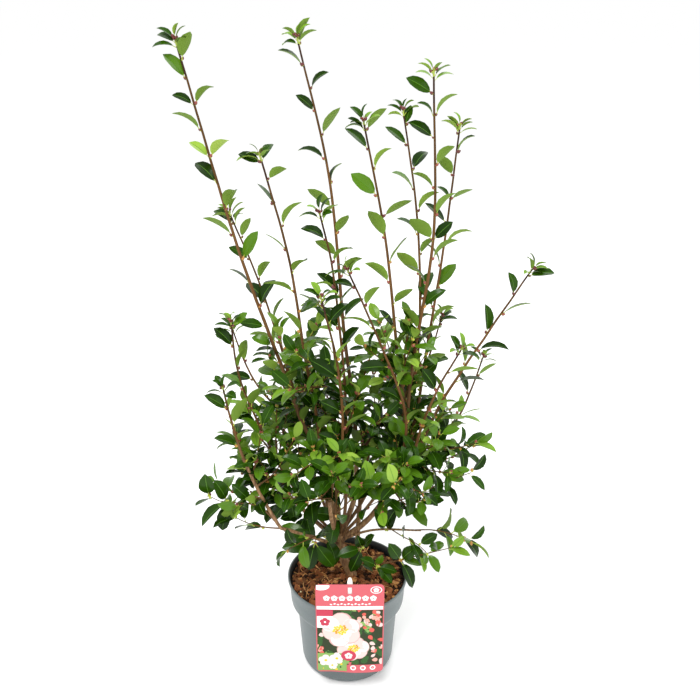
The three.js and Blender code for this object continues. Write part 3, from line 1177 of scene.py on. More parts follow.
    def grow_twig(
        self, node: str, path: Path, radius: float, count: int, light: float,
        rng: np.random.Generator, low: float = 0.0,
    ) -> None:
        """Grows one leafy twig of the crown.

        Args:
            node: The mass that it belongs to.
            path: The twig's path.
            radius: Its radius at the foot, in millimetres.
            count: How many leaves it bears.
            light: How light its leaves' tints are: partly fresher growth, partly darker tints that paint the
                shade in the crown's heart.
            rng: The random draws.
            low: The leaves' size if it is one of the low twigs with yellow buds, or 0.
        """
        self.region(node)[1].append(Twig(path, radius * MM, 0.6 * MM))
        turn = rng.uniform(0, 2 * math.pi)
        first = 0.35 if low else 0.24
        light += rng.normal(0, 0.09)
        full = self.leaf_length * (low or self.crown_size)
        if count == 0:
            return
        for k in range(count):
            distance = path.length * (first + (0.97 - first) * k / max(1, count - 1))
            size = full * rng.uniform(0.76, 1.12) * (0.86 if k >= count - 2 else 1.0)
            tint = self.deal_tint(rng, light + 0.12 * k / count)
            rise = 34 + rng.normal(0, 9)
            self.grow_leaf(node, path, distance, turn, size, rise, tint, 0.5, rng, not low)
            if rng.random() < 0.22:
                self.grow_buds(node, path, distance, turn, rng, int(rng.integers(1, 3)), 0.1 if low else 0.45)
            turn += GOLDEN_TURN + rng.normal(0, 0.2)
        tint = self.deal_tint(rng, light + 0.2)
        self.grow_leaf(node, path, path.length, turn, full * 0.8, 66, tint, 0.3, rng)
        self.grow_buds(node, path, path.length, turn, rng, 2, 0.15 if low else 0.5)

    def fill_mass(self, plan: CrownPlan, rng: np.random.Generator) -> None:
        """Fills one mass of the crown with twigs that grow on from the nearest limbs.

        Args:
            plan: The mass.
            rng: The mass's own random draws.
        """
        low, high = (np.array(corner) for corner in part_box(plan.node))
        centre, half = (low + high) / 2, (high - low) / 2
        wood = self.wood_near(centre, half)
        for k in range(plan.twigs):
            # Even directions over the mass, fewer of them downwards.
            height = 1 - 1.55 * (k + 0.5) / plan.twigs
            around = k * GOLDEN_TURN + rng.normal(0, 0.2)
            flat = math.sqrt(max(0.0, 1 - height * height))
            direction = np.array([flat * math.cos(around), flat * math.sin(around), height])
            target = centre + direction * half * rng.uniform(0.62, 0.84)
            path = self.branch(wood, target, rng)
            # Twigs near the mass's top get lighter tints and low ones darker: partly fresher growth, partly
            # painted light and shade.
            light = plan.light + 0.22 * height
            radius = rng.uniform(1.2, 1.7)
            self.grow_twig(plan.node, path, radius, plan.leaves + int(rng.integers(-1, 2)), light, rng)

    def wood_near(self, centre: np.ndarray, half: np.ndarray) -> np.ndarray:
        """Lists the points of limbs and leaders that a mass's twigs may grow from.

        Args:
            centre: The mass's centre.
            half: Its half sizes.

        Returns:
            Points in the order of their closeness to a place below the centre.
        """
        paths = [path for node, path in self.limbs.items() if node != "trunk"]
        paths += [twig.path for twigs in self.twigs.values() for twig in twigs if twig.leader]
        points = np.concatenate([path.points for path in paths])
        points = points[points[:, 2] > FORK_TOP]
        gap = np.linalg.norm((points - centre + UP * half[2] * 0.35) / (half + 0.03), axis=1)
        return points[np.argsort(gap)][:90]

    def branch(self, wood: np.ndarray, target: np.ndarray, rng: np.random.Generator) -> Path:
        """Lays a twig from the wood to a target, leaving low and turning upwards.

        Args:
            wood: The points that it may start from.
            target: Where it ends.
            rng: The random draws.

        Returns:
            The twig's path.
        """
        below = wood[wood[:, 2] < target[2] + 0.01]
        choices = below if len(below) > 5 else wood
        reach = np.linalg.norm(choices - target, axis=1)
        near = choices[np.argsort(np.abs(reach - 0.085))[: max(4, len(choices) // 8)]]
        start = near[int(rng.integers(len(near)))]
        middle = (start + target) / 2 - UP * 0.1 * np.linalg.norm(target - start) + rng.normal(0, 0.004, 3)
        knots = np.array([start, middle, target]) / MM
        return Path.through([tuple(knot) for knot in knots], 6.0)


# ---------------------------------------------------------- building pieces


@dataclass
class Foliage:
    """Joins the leaves, twigs and buds into pieces, one of each kind for each mass."""

    shrub: Shrub
    patterns: list[Shape] = field(default_factory=lambda: [blade.shape() for blade in BLADES])

    # Shares of a stem's length where riper wood gives way to younger, and at last to the green tip.
    LEADER_BANDS = (0.3, 0.72, 0.93, 0.985)
    TWIG_BANDS = (0.3, 0.8, 0.96, 0.99)
    TAPER = 0.9

    def build(self) -> None:
        """Builds all pieces and lets each leaf piece stand for its mass."""
        for node, leaves in self.shrub.leaves.items():
            keep(self.leaf_piece(node, leaves), "foliage", node)
            keep(self.twig_piece(node, self.shrub.twigs[node]), "shoot_bark")
            if self.shrub.buds[node]:
                keep(self.bud_piece(node, self.shrub.buds[node]), "foliage")

    def leaf_piece(self, node: str, leaves: list[Leaf]) -> bpy.types.Object:
        """Joins the leaves of one mass.

        Args:
            node: The mass.
            leaves: Its leaves.

        Returns:
            The piece.
        """
        tints = list(LeafTint)
        finishes = [t.upper() for t in tints] + [t.under() for t in tints] + [MIDRIB, STALK]
        piece = Gathering(f"leaves_{node}", finishes)
        for leaf in leaves:
            shape = self.patterns[leaf.pattern]
            across = np.cross(leaf.axis, leaf.facing)
            turn = np.stack([across, leaf.axis, leaf.facing]) * leaf.length
            rank, count = tints.index(leaf.tint), len(tints)
            piece.add(shape, shape.points @ turn + leaf.foot, [rank, count + rank, 2 * count, 2 * count + 1])
        return piece.build()

    def twig_piece(self, node: str, twigs: list[Twig]) -> bpy.types.Object:
        """Joins the twigs of one mass.

        Args:
            node: The mass.
            twigs: Its twigs.

        Returns:
            The piece.
        """
        piece = Gathering(f"twigs_{node}", [WOOD_OLD, WOOD_RIPE, WOOD_YOUNG, WOOD_TIP, WOOD_GREEN])
        for twig in twigs:
            sides, rings = (8, len(twig.path.points)) if twig.leader else (5, 8)
            shape = rod(sides, rings, self.LEADER_BANDS if twig.leader else self.TWIG_BANDS)
            share = twig.path.lengths / twig.path.length
            radius = twig.foot + (twig.tip - twig.foot) * share**self.TAPER
            piece.add(shape, along(shape, twig.path, radius), [0, 1, 2, 3, 4])
        return piece.build()

    def bud_piece(self, node: str, buds: list[Bud]) -> bpy.types.Object:
        """Joins the buds of one mass.

        Args:
            node: The mass.
            buds: Its buds.

        Returns:
            The piece.
        """
        tints = list(BudTint)
        piece = Gathering(f"buds_{node}", [t.finish() for t in tints] + [BUD_SCALE])
        shape = bud_shape()
        for bud in buds:
            across = unit(np.cross(bud.axis, [0.31, 0.22, 0.93]))
            turn = np.stack([across, np.cross(bud.axis, across), bud.axis]) * bud.length
            piece.add(shape, shape.points @ turn + bud.foot, [tints.index(bud.tint), len(tints)])
        return piece.build()


@dataclass
class Limbs:
    """The trunk and the boughs, with their bark in relief."""

    shrub: Shrub
    ridge: float = 0.55

    def build(self) -> None:
        """Builds one piece for each limb."""
        for plan in LIMBS:
            thick = plan.node in ("trunk", "stem_behind")
            piece = self.limb(plan, TRUNK_BARK if thick else BOUGH_BARK)
            keep(piece, "bark" if thick else "shoot_bark", plan.node)

    def limb(self, plan: LimbPlan, finish: Finish) -> bpy.types.Object:
        """Builds one limb.

        Args:
            plan: Its plan.
            finish: Its bark.

        Returns:
            The piece.
        """
        path = self.shrub.limbs[plan.node]
        shape = rod(30, max(24, len(path.points) * 2))
        share = path.lengths / path.length
        foot, tip = plan.radii
        radius = (foot + (tip - foot) * share) * (1 + (plan.flare - 1) * np.exp(-share / 0.1)) * MM
        points = along(shape, path, radius)
        centre = path.sample(path.points, shape.points[:, 2] * path.length)
        outward = points - centre
        reach = np.linalg.norm(outward, axis=1)
        relief = np.array([self.relief(p, c) for p, c in zip(shape.points, centre)])
        outward /= np.maximum(reach, 1e-9)[:, None]
        points = points + outward * (relief * self.ridge * MM * min(1.0, foot / 6))[:, None]
        if plan.flare > 1:
            points[shape.points[:, 2] < 1e-6, 2] = plan.route[0][2] * MM
        piece = Gathering(f"wood_{plan.node}", [finish])
        piece.add(shape, points, [0])
        return piece.build(70)

    def relief(self, point: np.ndarray, centre: np.ndarray) -> float:
        """Works out the bark's height at a point of a limb.

        Args:
            point: The point on the straight rod.
            centre: The place on the limb's centre line.

        Returns:
            The height, about -1 to 1.
        """
        ridges = noise.noise(Vector((point[0] * 3.2, point[1] * 3.2, centre[2] * 55)))
        knots = noise.noise(Vector((point[0] * 1.1, point[1] * 1.1, centre[2] * 130 + 7)))
        fine = noise.noise(Vector((point[0] * 7.0, point[1] * 7.0, centre[2] * 260)))
        return 1.2 * ridges + 0.8 * knots + 0.5 * fine


# ----------------------------------------------------------------- the pot


@dataclass
class NurseryPot:
    """The pot: a turned thin shell with a rolled lip, an upright collar, a shoulder and small feet."""

    foot_radius: float = 67.0
    heel_radius: float = 74.5
    shoulder_radius: float = 80.5
    collar_radius: float = 90.5
    collar_top_radius: float = 92.5
    rim_radius: float = 95.0
    heel_height: float = 15.0
    shoulder_height: float = 105.0
    collar_height: float = 119.0
    lip_height: float = 157.0
    height: float = 162.0
    wall: float = 1.6
    steps: int = 216
    notches: int = 6
    notch_rise: float = 3.2
    notch_half_turn: float = 11.5

    def outline(self) -> list[tuple[float, float]]:
        """Draws the shell's section, from the underside's middle to the floor's.

        Returns:
            The section as radius and height, in millimetres.
        """
        r, w = self, self.wall
        lip = [
            (r.rim_radius - 1.4 + 1.4 * math.cos(a), r.height - 2.2 + 2.2 * math.sin(a))
            for a in (math.radians(d) for d in range(0, 181, 30))
        ]
        heel = [
            (
                r.foot_radius + (r.heel_radius - r.foot_radius) * math.sin(a),
                1.0 + (r.heel_height - 1.0) * (1 - math.cos(a)),
            )
            for a in (math.radians(d) for d in range(0, 91, 15))
        ]
        outside = [
            (0, 0.8), (r.foot_radius - 9, 0.8), (r.foot_radius - 8, 0), (r.foot_radius - 1.2, 0), *heel,
            (r.heel_radius + 3, (r.heel_height + r.shoulder_height) / 2),
            (r.shoulder_radius - 0.5, r.shoulder_height - 5),
            (r.shoulder_radius + 0.1, r.shoulder_height - 1),
            (r.shoulder_radius + 1.2, r.shoulder_height + 1.6), (r.collar_radius - 2.6, r.collar_height - 4),
            (r.collar_radius - 0.6, r.collar_height - 0.6), (r.collar_radius, r.collar_height + 3),
            ((r.collar_radius + r.collar_top_radius) / 2, (r.collar_height + r.lip_height) / 2),
            (r.collar_top_radius, r.lip_height - 1.2), (r.collar_top_radius + 0.5, r.lip_height - 0.2),
            (r.rim_radius - 0.5, r.lip_height + 0.3), (r.rim_radius, r.lip_height + 1.0),
        ]
        inside = [
            (r.collar_top_radius - w, r.height - 4), (r.collar_top_radius - w - 0.2, r.lip_height - 4),
            (r.collar_radius - w, r.collar_height), (r.shoulder_radius - w, r.shoulder_height),
            (r.heel_radius - w, r.heel_height), (r.foot_radius - w - 3, 3.2), (0, 3.2),
        ]
        return outside + lip[1:] + inside

    def build(self) -> None:
        """Builds the pot."""
        bm = turned(self.outline(), self.steps)
        bmesh.ops.recalc_face_normals(bm, faces=bm.faces)
        for vert in bm.verts:
            self.notch(vert)
        for face in bm.faces:
            centre = face.calc_center_median()
            out = Vector((centre.x, centre.y, 0))
            inner = face.normal.dot(out) < 0 and centre.z < (self.height - 1.2) * MM and centre.z > 1.5 * MM
            floor = centre.z > 2.5 * MM and face.normal.z > 0.9 and out.length < self.foot_radius * MM
            face.material_index = int(inner or floor)
        keep(piece_of(bm, "pot_shell", [POT_OUTSIDE, POT_INSIDE], 40), "pot", "pot")

    def notch(self, vert: bmesh.types.BMVert) -> None:
        """Lifts a point of the foot ring where it lies in one of the notches between the feet.

        Args:
            vert: The point.
        """
        radius = math.hypot(vert.co.x, vert.co.y) / MM
        turn = (math.atan2(vert.co.y, vert.co.x) + math.pi / 2) * self.notches / (2 * math.pi)
        off = abs(turn - round(turn)) * 360 / self.notches
        if radius > self.foot_radius - 8.5 and off < self.notch_half_turn:
            vert.co.z = max(vert.co.z, self.notch_rise * MM)


@dataclass
class BarkMulch:
    """The potting medium with its layer of bark chips, fibres and a few feed granules."""

    chips: int = 2100
    fibres: int = 90
    granules: int = 5
    edge_height: float = 150.5
    crown_height: float = 154.5
    crown_radius: float = 42.0
    radius: float = 89.6

    def height(self, radius: float) -> float:
        """Returns the mulch's height at a radius, both in millimetres."""
        slope = np.clip((radius - self.crown_radius) / (self.radius - self.crown_radius), 0, 1)
        return float(self.crown_height + (self.edge_height - self.crown_height) * slope)

    def build(self) -> None:
        """Builds the medium and what lies on it."""
        keep(self.medium(), "mulch", "potting_medium")
        rng = np.random.default_rng(SEED + 900)
        keep(self.chip_layer(rng), "mulch")
        keep(self.fibre_layer(rng), "mulch")
        keep(self.granule_layer(rng), "mulch")

    def medium(self) -> bpy.types.Object:
        """Makes the plug of medium with an uneven top.

        Returns:
            The piece.
        """
        section = [(0, 4.6), (63, 4.6), (72, 16), (78, 105), (88, 120), (self.radius, self.edge_height - 3)]
        section += [(r, self.height(r) - 3) for r in range(84, 0, -4)] + [(0, self.crown_height - 3)]
        bm = turned(section, 96)
        for vert in bm.verts:
            if vert.co.z > 130 * MM and math.hypot(vert.co.x, vert.co.y) < 87 * MM:
                vert.co.z += 1.6 * MM * noise.noise(vert.co * 140)
        return piece_of(bm, "medium_plug", [SOIL], 180)

    def chip_shape(self, rng: np.random.Generator) -> Shape:
        """Splits off one chip, about 1 long.

        Args:
            rng: The random draws.

        Returns:
            The chip.
        """
        bm = bmesh.new()
        bmesh.ops.create_cube(bm, size=1.0)
        bmesh.ops.scale(bm, verts=bm.verts, vec=(1.0, rng.uniform(0.45, 0.8), rng.uniform(0.3, 0.55)))
        bmesh.ops.subdivide_edges(bm, edges=bm.edges, cuts=1, use_grid_fill=True)
        for vert in bm.verts:
            taper = 1 - 0.35 * abs(vert.co.x)
            rough = Vector(rng.normal(0, 0.055, 3))
            vert.co = Vector((vert.co.x, vert.co.y * taper, vert.co.z * taper)) + rough
        return Shape.of(bm)

    def scatter(self, rng: np.random.Generator, half: float) -> np.ndarray:
        """Deals a place on the mulch, clear of the wall.

        Args:
            rng: The random draws.
            half: Half the thing's length.

        Returns:
            The place, in millimetres.
        """
        radius = math.sqrt(rng.random()) * (self.radius - half * 0.75 - 1.5)
        turn = rng.uniform(0, 2 * math.pi)
        return np.array([radius * math.cos(turn), radius * math.sin(turn), self.height(radius)])

    def chip_layer(self, rng: np.random.Generator) -> bpy.types.Object:
        """Lays the layer of chips.

        Args:
            rng: The random draws.

        Returns:
            The piece.
        """
        piece = Gathering("bark_chips", CHIPS)
        shapes = [self.chip_shape(rng) for _ in range(10)]
        for _ in range(self.chips):
            size = float(np.clip(rng.lognormal(1.78, 0.42), 2.6, 15.0))
            place = self.scatter(rng, size / 2)
            spin = Matrix.Rotation(rng.uniform(0, 2 * math.pi), 3, "Z")
            pitch = Matrix.Rotation(rng.normal(0, 0.45), 3, "Y")
            roll = Matrix.Rotation(rng.normal(0, 0.7), 3, "X")
            shape = shapes[int(rng.integers(len(shapes)))]
            place = (place + UP * rng.uniform(-2.6, 1.4)) * MM
            points = shape.points @ np.array(spin @ pitch @ roll).T * size * MM + place
            shade = int(rng.choice(len(CHIPS), p=(0.36, 0.27, 0.22, 0.15)))
            piece.add(shape, points, [shade])
        return piece.build(30)

    def fibre_layer(self, rng: np.random.Generator) -> bpy.types.Object:
        """Lays the loose bark fibres.

        Args:
            rng: The random draws.

        Returns:
            The piece.
        """
        piece = Gathering("bark_fibres", [FIBRE, CHIPS[3]])
        for _ in range(self.fibres):
            length = rng.uniform(9, 34)
            centre = self.scatter(rng, length / 2) + UP * 2.4
            way = rng.uniform(0, 2 * math.pi)
            run = np.array([math.cos(way), math.sin(way), rng.normal(0, 0.1)]) * length / 2
            bow = np.cross(run, UP) * rng.normal(0, 0.2) + UP * rng.uniform(0, 1.6)
            path = Path.through([tuple(centre - run), tuple(centre + bow), tuple(centre + run)], 2.5)
            shape = rod(4, 7)
            thick = rng.uniform(0.25, 0.6) * MM * np.ones(len(path.points))
            piece.add(shape, along(shape, path, thick), [int(rng.random() < 0.4)])
        return piece.build()

    def granule_layer(self, rng: np.random.Generator) -> bpy.types.Object:
        """Lays the slow-release feed granules.

        Args:
            rng: The random draws.

        Returns:
            The piece.
        """
        piece = Gathering("feed_granules", [GRANULE])
        bm = bmesh.new()
        bmesh.ops.create_icosphere(bm, subdivisions=2, radius=1.0)
        shape = Shape.of(bm)
        for _ in range(self.granules):
            centre = (self.scatter(rng, 2) + UP * 2.2) * MM
            piece.add(shape, shape.points * rng.uniform(1.1, 1.9) * MM + centre, [0])
        return piece.build()


# ------------------------------------------------------------------- label


# Points across and up the card.
Outline = list[tuple[float, float]]


@dataclass(frozen=True)
class Inlay:
    """One printed patch of the label: its outline, its finish and its layer above the card."""

    outline: Outline
    finish: Finish
    layer: int
    pictured: bool = False


def ink(name: str, colour: int, roughness: float = 0.35) -> Finish:
    """Returns a printing ink's finish."""
    return Finish(f"ink_{name}", colour, roughness, 0.0, 0.15)


INK_PINK = ink("pink", 0xC45D65, 0.4)
INK_DEEP_PINK = ink("deep_pink", 0xB83E52, 0.4)
INK_WHITE = ink("white", 0xF4F0EE)
INK_LEAF = ink("leaf", 0x33592C)
INK_LEAF_PALE = ink("leaf_pale", 0x7FA45A)
INK_SHADE = ink("shade", 0x303A24)
INK_PETAL_SHADE = ink("petal_shade", 0xC9A09C)
INK_PETAL = ink("petal", 0xDDC2BD)
INK_PETAL_PALE = ink("petal_pale", 0xEBD9D5)
INK_STAMEN_DEEP = ink("stamen_deep", 0xC8922A)
INK_STAMEN = ink("stamen", 0xE8BE2E)
INK_BUD = ink("bud", 0xCF5A50)
INK_BUD_PALE = ink("bud_pale", 0xE9A294)
PIN_WHITE = GrainedFinish(
    "pin_white", 0xF1F1EC, 0.4, dark=0xE9E9E4, light=0xF6F6F2,
    scale=300, bump=0.05, bump_mm=0.1, rough_spread=0.05,
)

def set_down(spots: Outline, x: float, z: float, turn: float) -> Outline:
    """Turns an outline and sets it down on the card.

    Args:
        spots: The outline about its own centre or foot.
        x: Where that goes across the card.
        z: Where it goes up the card.
        turn: The turn in degrees.

    Returns:
        The outline in its place.
    """
    c, s = math.cos(math.radians(turn)), math.sin(math.radians(turn))
    return [(x + u * c - v * s, z + u * s + v * c) for u, v in spots]


def oval(x: float, z: float, across: float, up: float, turn: float = 0.0, steps: int = 28) -> Outline:
    """Draws an oval.

    Args:
        x: Its centre across the card.
        z: Its centre up the card.
        across: Its half width.
        up: Its half height.
        turn: Its turn in degrees.
        steps: Its points.

    Returns:
        The outline.
    """
    turns = np.linspace(0, 2 * math.pi, steps, endpoint=False)
    return set_down([(across * math.cos(a), up * math.sin(a)) for a in turns], x, z, turn)


def petal(x: float, z: float, length: float, width: float, turn: float) -> Outline:
    """Draws a petal or leaf that starts at a point and widens outwards.

    Args:
        x: Its foot across the card.
        z: Its foot up the card.
        length: Its length.
        width: Its half width.
        turn: The way it points, in degrees.

    Returns:
        The outline.
    """
    shares = np.linspace(0, 1, 12)
    swell = np.sin(math.pi * shares**1.25) ** 0.75
    notch = 1 - 0.06 * np.exp(-(((shares - 1) / 0.06) ** 2))
    upper = [(length * t * n, width * w) for t, w, n in zip(shares, swell, notch)]
    lower = [(u, -v) for u, v in reversed(upper[1:-1])]
    return set_down(upper + lower, x, z, turn)


def box_outline(left: float, right: float, bottom: float, top: float) -> Outline:
    """Returns a rectangle's outline."""
    return [(left, bottom), (right, bottom), (right, top), (left, top)]


@dataclass
class PictureLabel:
    """The picture label: a thin printed card with round corners, and the white pin that holds it."""

    width: float = 102.0
    height: float = 168.0
    corner: float = 7.0
    thickness: float = 0.8
    foot: float = 49.0
    centre: float = 4.0
    out: float = 97.4
    ink: float = 0.07
    slot_half: float = 3.2
    slot_height: float = 13.0
    slot_below_top: float = 5.0
    pin_half: float = 4.0
    pin_above_top: float = 11.0
    pin_thickness: float = 1.4
    inlays: list[Inlay] = field(default_factory=list)

    # The printed clusters of buds: centre across and up, half spread across and up, and count.
    BUD_CLUSTERS = ((26, 104, 20, 18, 26), (40, 40, 9, 30, 16), (-44, 62, 5, 24, 6))

    def wave(self, x: float, z: float) -> float:
        """Works out how far the card bows outwards at a place on it, in millimetres.

        Args:
            x: The place across the card.
            z: The place up the card.

        Returns:
            How far it stands in front of its flat plane.
        """
        low = max(0.0, 1 - z / (self.height * 0.45))
        ripple = 1.6 * low**2 * math.sin(x / self.width * 2.2 * math.pi + 0.6)
        return ripple - 0.8 * (2 * x / self.width) ** 2 + 0.5

    def build(self) -> None:
        """Builds the card, its print and its pin."""
        self.plan_print()
        keep(self.card(), "card", "label_card")
        for finish in dict.fromkeys(inlay.finish for inlay in self.inlays):
            keep(self.print_piece(finish), "card")
        keep(self.pin(), "pin", "label_pin")

    def rounded(self) -> Outline:
        """Draws the card, about its own foot.

        Returns:
            The outline.
        """
        half, r = self.width / 2, self.corner
        outline = []
        for cx, cz, start in (
            (half - r, r, -90), (half - r, self.height - r, 0),
            (r - half, self.height - r, 90), (r - half, r, 180),
        ):
            outline += [
                (cx + r * math.cos(math.radians(start + d)), cz + r * math.sin(math.radians(start + d)))
                for d in range(0, 91, 15)
            ]
        return outline

    def slab(
        self, outline: Outline, back: float, front: float,
        clip: tuple[float, float, float, float] | None = None, slot: bool = False,
    ) -> bmesh.types.BMesh:
        """Makes a thin slab of an outline that follows the card's wave.

        Args:
            outline: The outline across and up the card.
            back: How far its back stands in front of the card's middle plane.
            front: The same for its front.
            clip: Left, right, bottom and top that the outline is cut to.
            slot: Whether the card's slot is cut out of it.

        Returns:
            The slab in metres, in its place.
        """
        bm = bmesh.new()
        bm.faces.new([bm.verts.new((x, -back, z)) for x, z in outline])
        if clip:
            left, right, bottom, top = clip
            self.cut(bm, (left, 0, 0), (-1, 0, 0), True)
            self.cut(bm, (right, 0, 0), (1, 0, 0), True)
            self.cut(bm, (0, 0, bottom), (0, 0, -1), True)
            self.cut(bm, (0, 0, top), (0, 0, 1), True)
        if slot:
            slot_top = self.height - self.slot_below_top
            for x in (-self.slot_half, self.slot_half):
                self.cut(bm, (x, 0, 0), (1, 0, 0))
            for z in (slot_top - self.slot_height, slot_top):
                self.cut(bm, (0, 0, z), (0, 0, 1))
            hole = [face for face in bm.faces if self.in_slot(face.calc_center_median())]
            bmesh.ops.delete(bm, geom=hole, context="FACES")
        for z in np.arange(9, self.height, 14.0):
            self.cut(bm, (0, 0, z), (0, 0, 1))
        for x in np.arange(-42.5, 50, 17.0):
            self.cut(bm, (x, 0, 0), (1, 0, 0))
        grown = bmesh.ops.extrude_face_region(bm, geom=bm.faces[:])["geom"]
        face_verts = [g for g in grown if isinstance(g, bmesh.types.BMVert)]
        bmesh.ops.translate(bm, verts=face_verts, vec=(0, back - front, 0))
        for vert in bm.verts:
            x, y, z = vert.co
            bow = self.wave(x, z)
            vert.co = Vector(((x + self.centre) * MM, (y - self.out - bow) * MM, (z + self.foot) * MM))
        return bm

    def cut(
        self, bm: bmesh.types.BMesh, point: tuple[float, float, float],
        normal: tuple[float, float, float], clear: bool = False,
    ) -> None:
        """Cuts a flat mesh by a plane.

        Args:
            bm: The mesh.
            point: A point of the plane.
            normal: The plane's normal.
            clear: Whether what lies on the normal's side is taken away.
        """
        geometry = bm.verts[:] + bm.edges[:] + bm.faces[:]
        bmesh.ops.bisect_plane(bm, geom=geometry, plane_co=point, plane_no=normal, clear_outer=clear)

    def card(self) -> bpy.types.Object:
        """Makes the card, with the slot through which its pin shows.

        Returns:
            The piece.
        """
        half = self.thickness / 2
        bm = self.slab(self.rounded(), -half, half, slot=True)
        return piece_of(bm, "label_sheet", [INK_PINK], 40)

    def in_slot(self, place: Vector) -> bool:
        """Tells whether a place across and up the card lies in its slot."""
        low = self.height - self.slot_below_top - self.slot_height
        return abs(place.x) < self.slot_half and low < place.z < self.height - self.slot_below_top

    def print_piece(self, finish: Finish) -> bpy.types.Object:
        """Joins all the printed patches of one ink.

        Args:
            finish: The ink.

        Returns:
            The piece.
        """
        joined = bmesh.new()
        clip = (-self.width / 2 + 1.2, self.width / 2 - 1.2, 1.5, self.height - 1.2)
        for inlay in self.inlays:
            if inlay.finish != finish:
                continue
            front = self.thickness / 2 + self.ink * inlay.layer
            bounds = self.picture if inlay.pictured else clip
            part = self.slab(inlay.outline, self.thickness / 2 - 0.02, front, bounds)
            mesh = bpy.data.meshes.new("patch")
            part.to_mesh(mesh)
            part.free()
            joined.from_mesh(mesh)
            bpy.data.meshes.remove(mesh)
        return piece_of(joined, f"label_{finish.name}", [finish], 40)

    @property
    def picture(self) -> tuple[float, float, float, float]:
        """The left, right, bottom and top of the printed picture."""
        return (-49.4, 49.4, 15.5, self.height - 47)

    def add(self, outline: Outline, finish: Finish, layer: int, pictured: bool = False) -> None:
        """Plans one printed patch, which is cut to the picture's frame if it is pictured."""
        self.inlays.append(Inlay(outline, finish, layer, pictured))

    def floret(self, x: float, z: float, size: float, finish: Finish, heart: Finish, layer: int) -> None:
        """Plans one small flower of five petals.

        Args:
            x: Its centre across the card.
            z: Its centre up the card.
            size: Its radius.
            finish: Its petals' ink.
            heart: Its centre's ink.
            layer: Its lowest layer.
        """
        for k in range(5):
            self.add(petal(x, z, size, size * 0.42, 90 + 72 * k), finish, layer)
        self.add(oval(x, z, size * 0.2, size * 0.2, steps=10), heart, layer + 1)

    def plan_print(self) -> None:
        """Plans the whole print: header, picture, inset pictures and footer."""
        rng = np.random.default_rng(SEED + 950)
        self.plan_header()
        self.plan_picture(rng)
        self.plan_insets(rng)

    def plan_header(self) -> None:
        """Plans the header with its row of flowers, the white band under it and the footer's ovals."""
        top, half = self.height, self.width / 2
        self.add(oval(8 - half, top - 3, 13, 7.5), INK_WHITE, 1)
        self.add(oval(39, top - 10, 8.6, 6.6), INK_WHITE, 1)
        self.add(oval(39, top - 10, 7.3, 5.4), INK_PINK, 2)
        self.floret(39, top - 10, 4.6, INK_WHITE, INK_PINK, 3)
        for k in range(7):
            self.floret(11.6 * (k - 3), top - 25, 5.4, INK_WHITE, INK_DEEP_PINK, 1)
        for k in range(12):
            self.add(petal(5.2 * (k - 6) + 1, top - 36, 4.4, 1.2, 16 if k % 2 else -16), INK_WHITE, 1)
        self.add(box_outline(1.5 - half, half - 1.5, top - 46, top - 40), INK_WHITE, 1)
        for k in range(3):
            self.add(oval(5 + 15 * k, 9.5, 4.4, 4.6), INK_WHITE, 1)
            self.floret(5 + 15 * k, 9.5, 3.0, INK_PINK, INK_WHITE, 2)

    def plan_picture(self, rng: np.random.Generator) -> None:
        """Plans the picture: two open blossoms over leaves and coral buds.

        Args:
            rng: The random draws.
        """
        left, right, bottom, top = self.picture
        self.add(box_outline(left, right, bottom, top), INK_SHADE, 2)
        for _ in range(60):
            finish = (INK_LEAF, INK_LEAF, INK_LEAF_PALE)[int(rng.integers(3))]
            x, z = rng.uniform(left, right), rng.uniform(bottom, top)
            leaf = petal(x, z, rng.uniform(10, 20), rng.uniform(3, 6), rng.uniform(0, 360))
            self.add(leaf, finish, 3, True)
        for centre_x, centre_z, spread_x, spread_z, count in self.BUD_CLUSTERS:
            for _ in range(count):
                finish = (INK_BUD, INK_BUD_PALE, INK_PETAL)[int(rng.integers(3))]
                x, z = centre_x + rng.uniform(-1, 1) * spread_x, centre_z + rng.uniform(-1, 1) * spread_z
                bud = petal(x, z, rng.uniform(6, 11), rng.uniform(2.4, 4.2), rng.uniform(0, 360))
                self.add(bud, finish, 4, True)
        self.blossom(6, 48, 26, 8, 5, rng)
        self.blossom(-14, 84, 33, 20, 9, rng)

    def blossom(
        self, x: float, z: float, size: float, turn: float, layer: int, rng: np.random.Generator
    ) -> None:
        """Plans one open blossom: loose shaded petals round a heap of stamens.

        Args:
            x: Its centre across the card.
            z: Its centre up the card.
            size: Its radius.
            turn: Its turn in degrees.
            layer: Its lowest layer.
            rng: The random draws.
        """
        for k in range(6):
            way = turn + 60 * k + rng.normal(0, 6)
            reach = size * rng.uniform(0.88, 1.08)
            pale = INK_PETAL if k % 2 else INK_PETAL_PALE
            self.add(petal(x, z, reach, size * 0.47, way), INK_PETAL_SHADE, layer, True)
            self.add(petal(x, z, reach * 0.97, size * 0.42, way + 3), pale, layer + 1, True)
        for k in range(4):
            way = turn + 30 + 90 * k + rng.normal(0, 8)
            pale = INK_PETAL_PALE if k % 2 else INK_PETAL
            self.add(petal(x, z, size * 0.62, size * 0.25, way), pale, layer + 2)
        for k in range(26):
            way = math.radians(k * 137.5)
            reach = size * 0.066 * math.sqrt(k + 1)
            place = (x + reach * math.cos(way), z + reach * math.sin(way) * 0.8)
            stamen = INK_STAMEN if k % 4 else INK_STAMEN_DEEP
            self.add(oval(*place, size * 0.062, size * 0.055, steps=7), stamen, layer + 3)

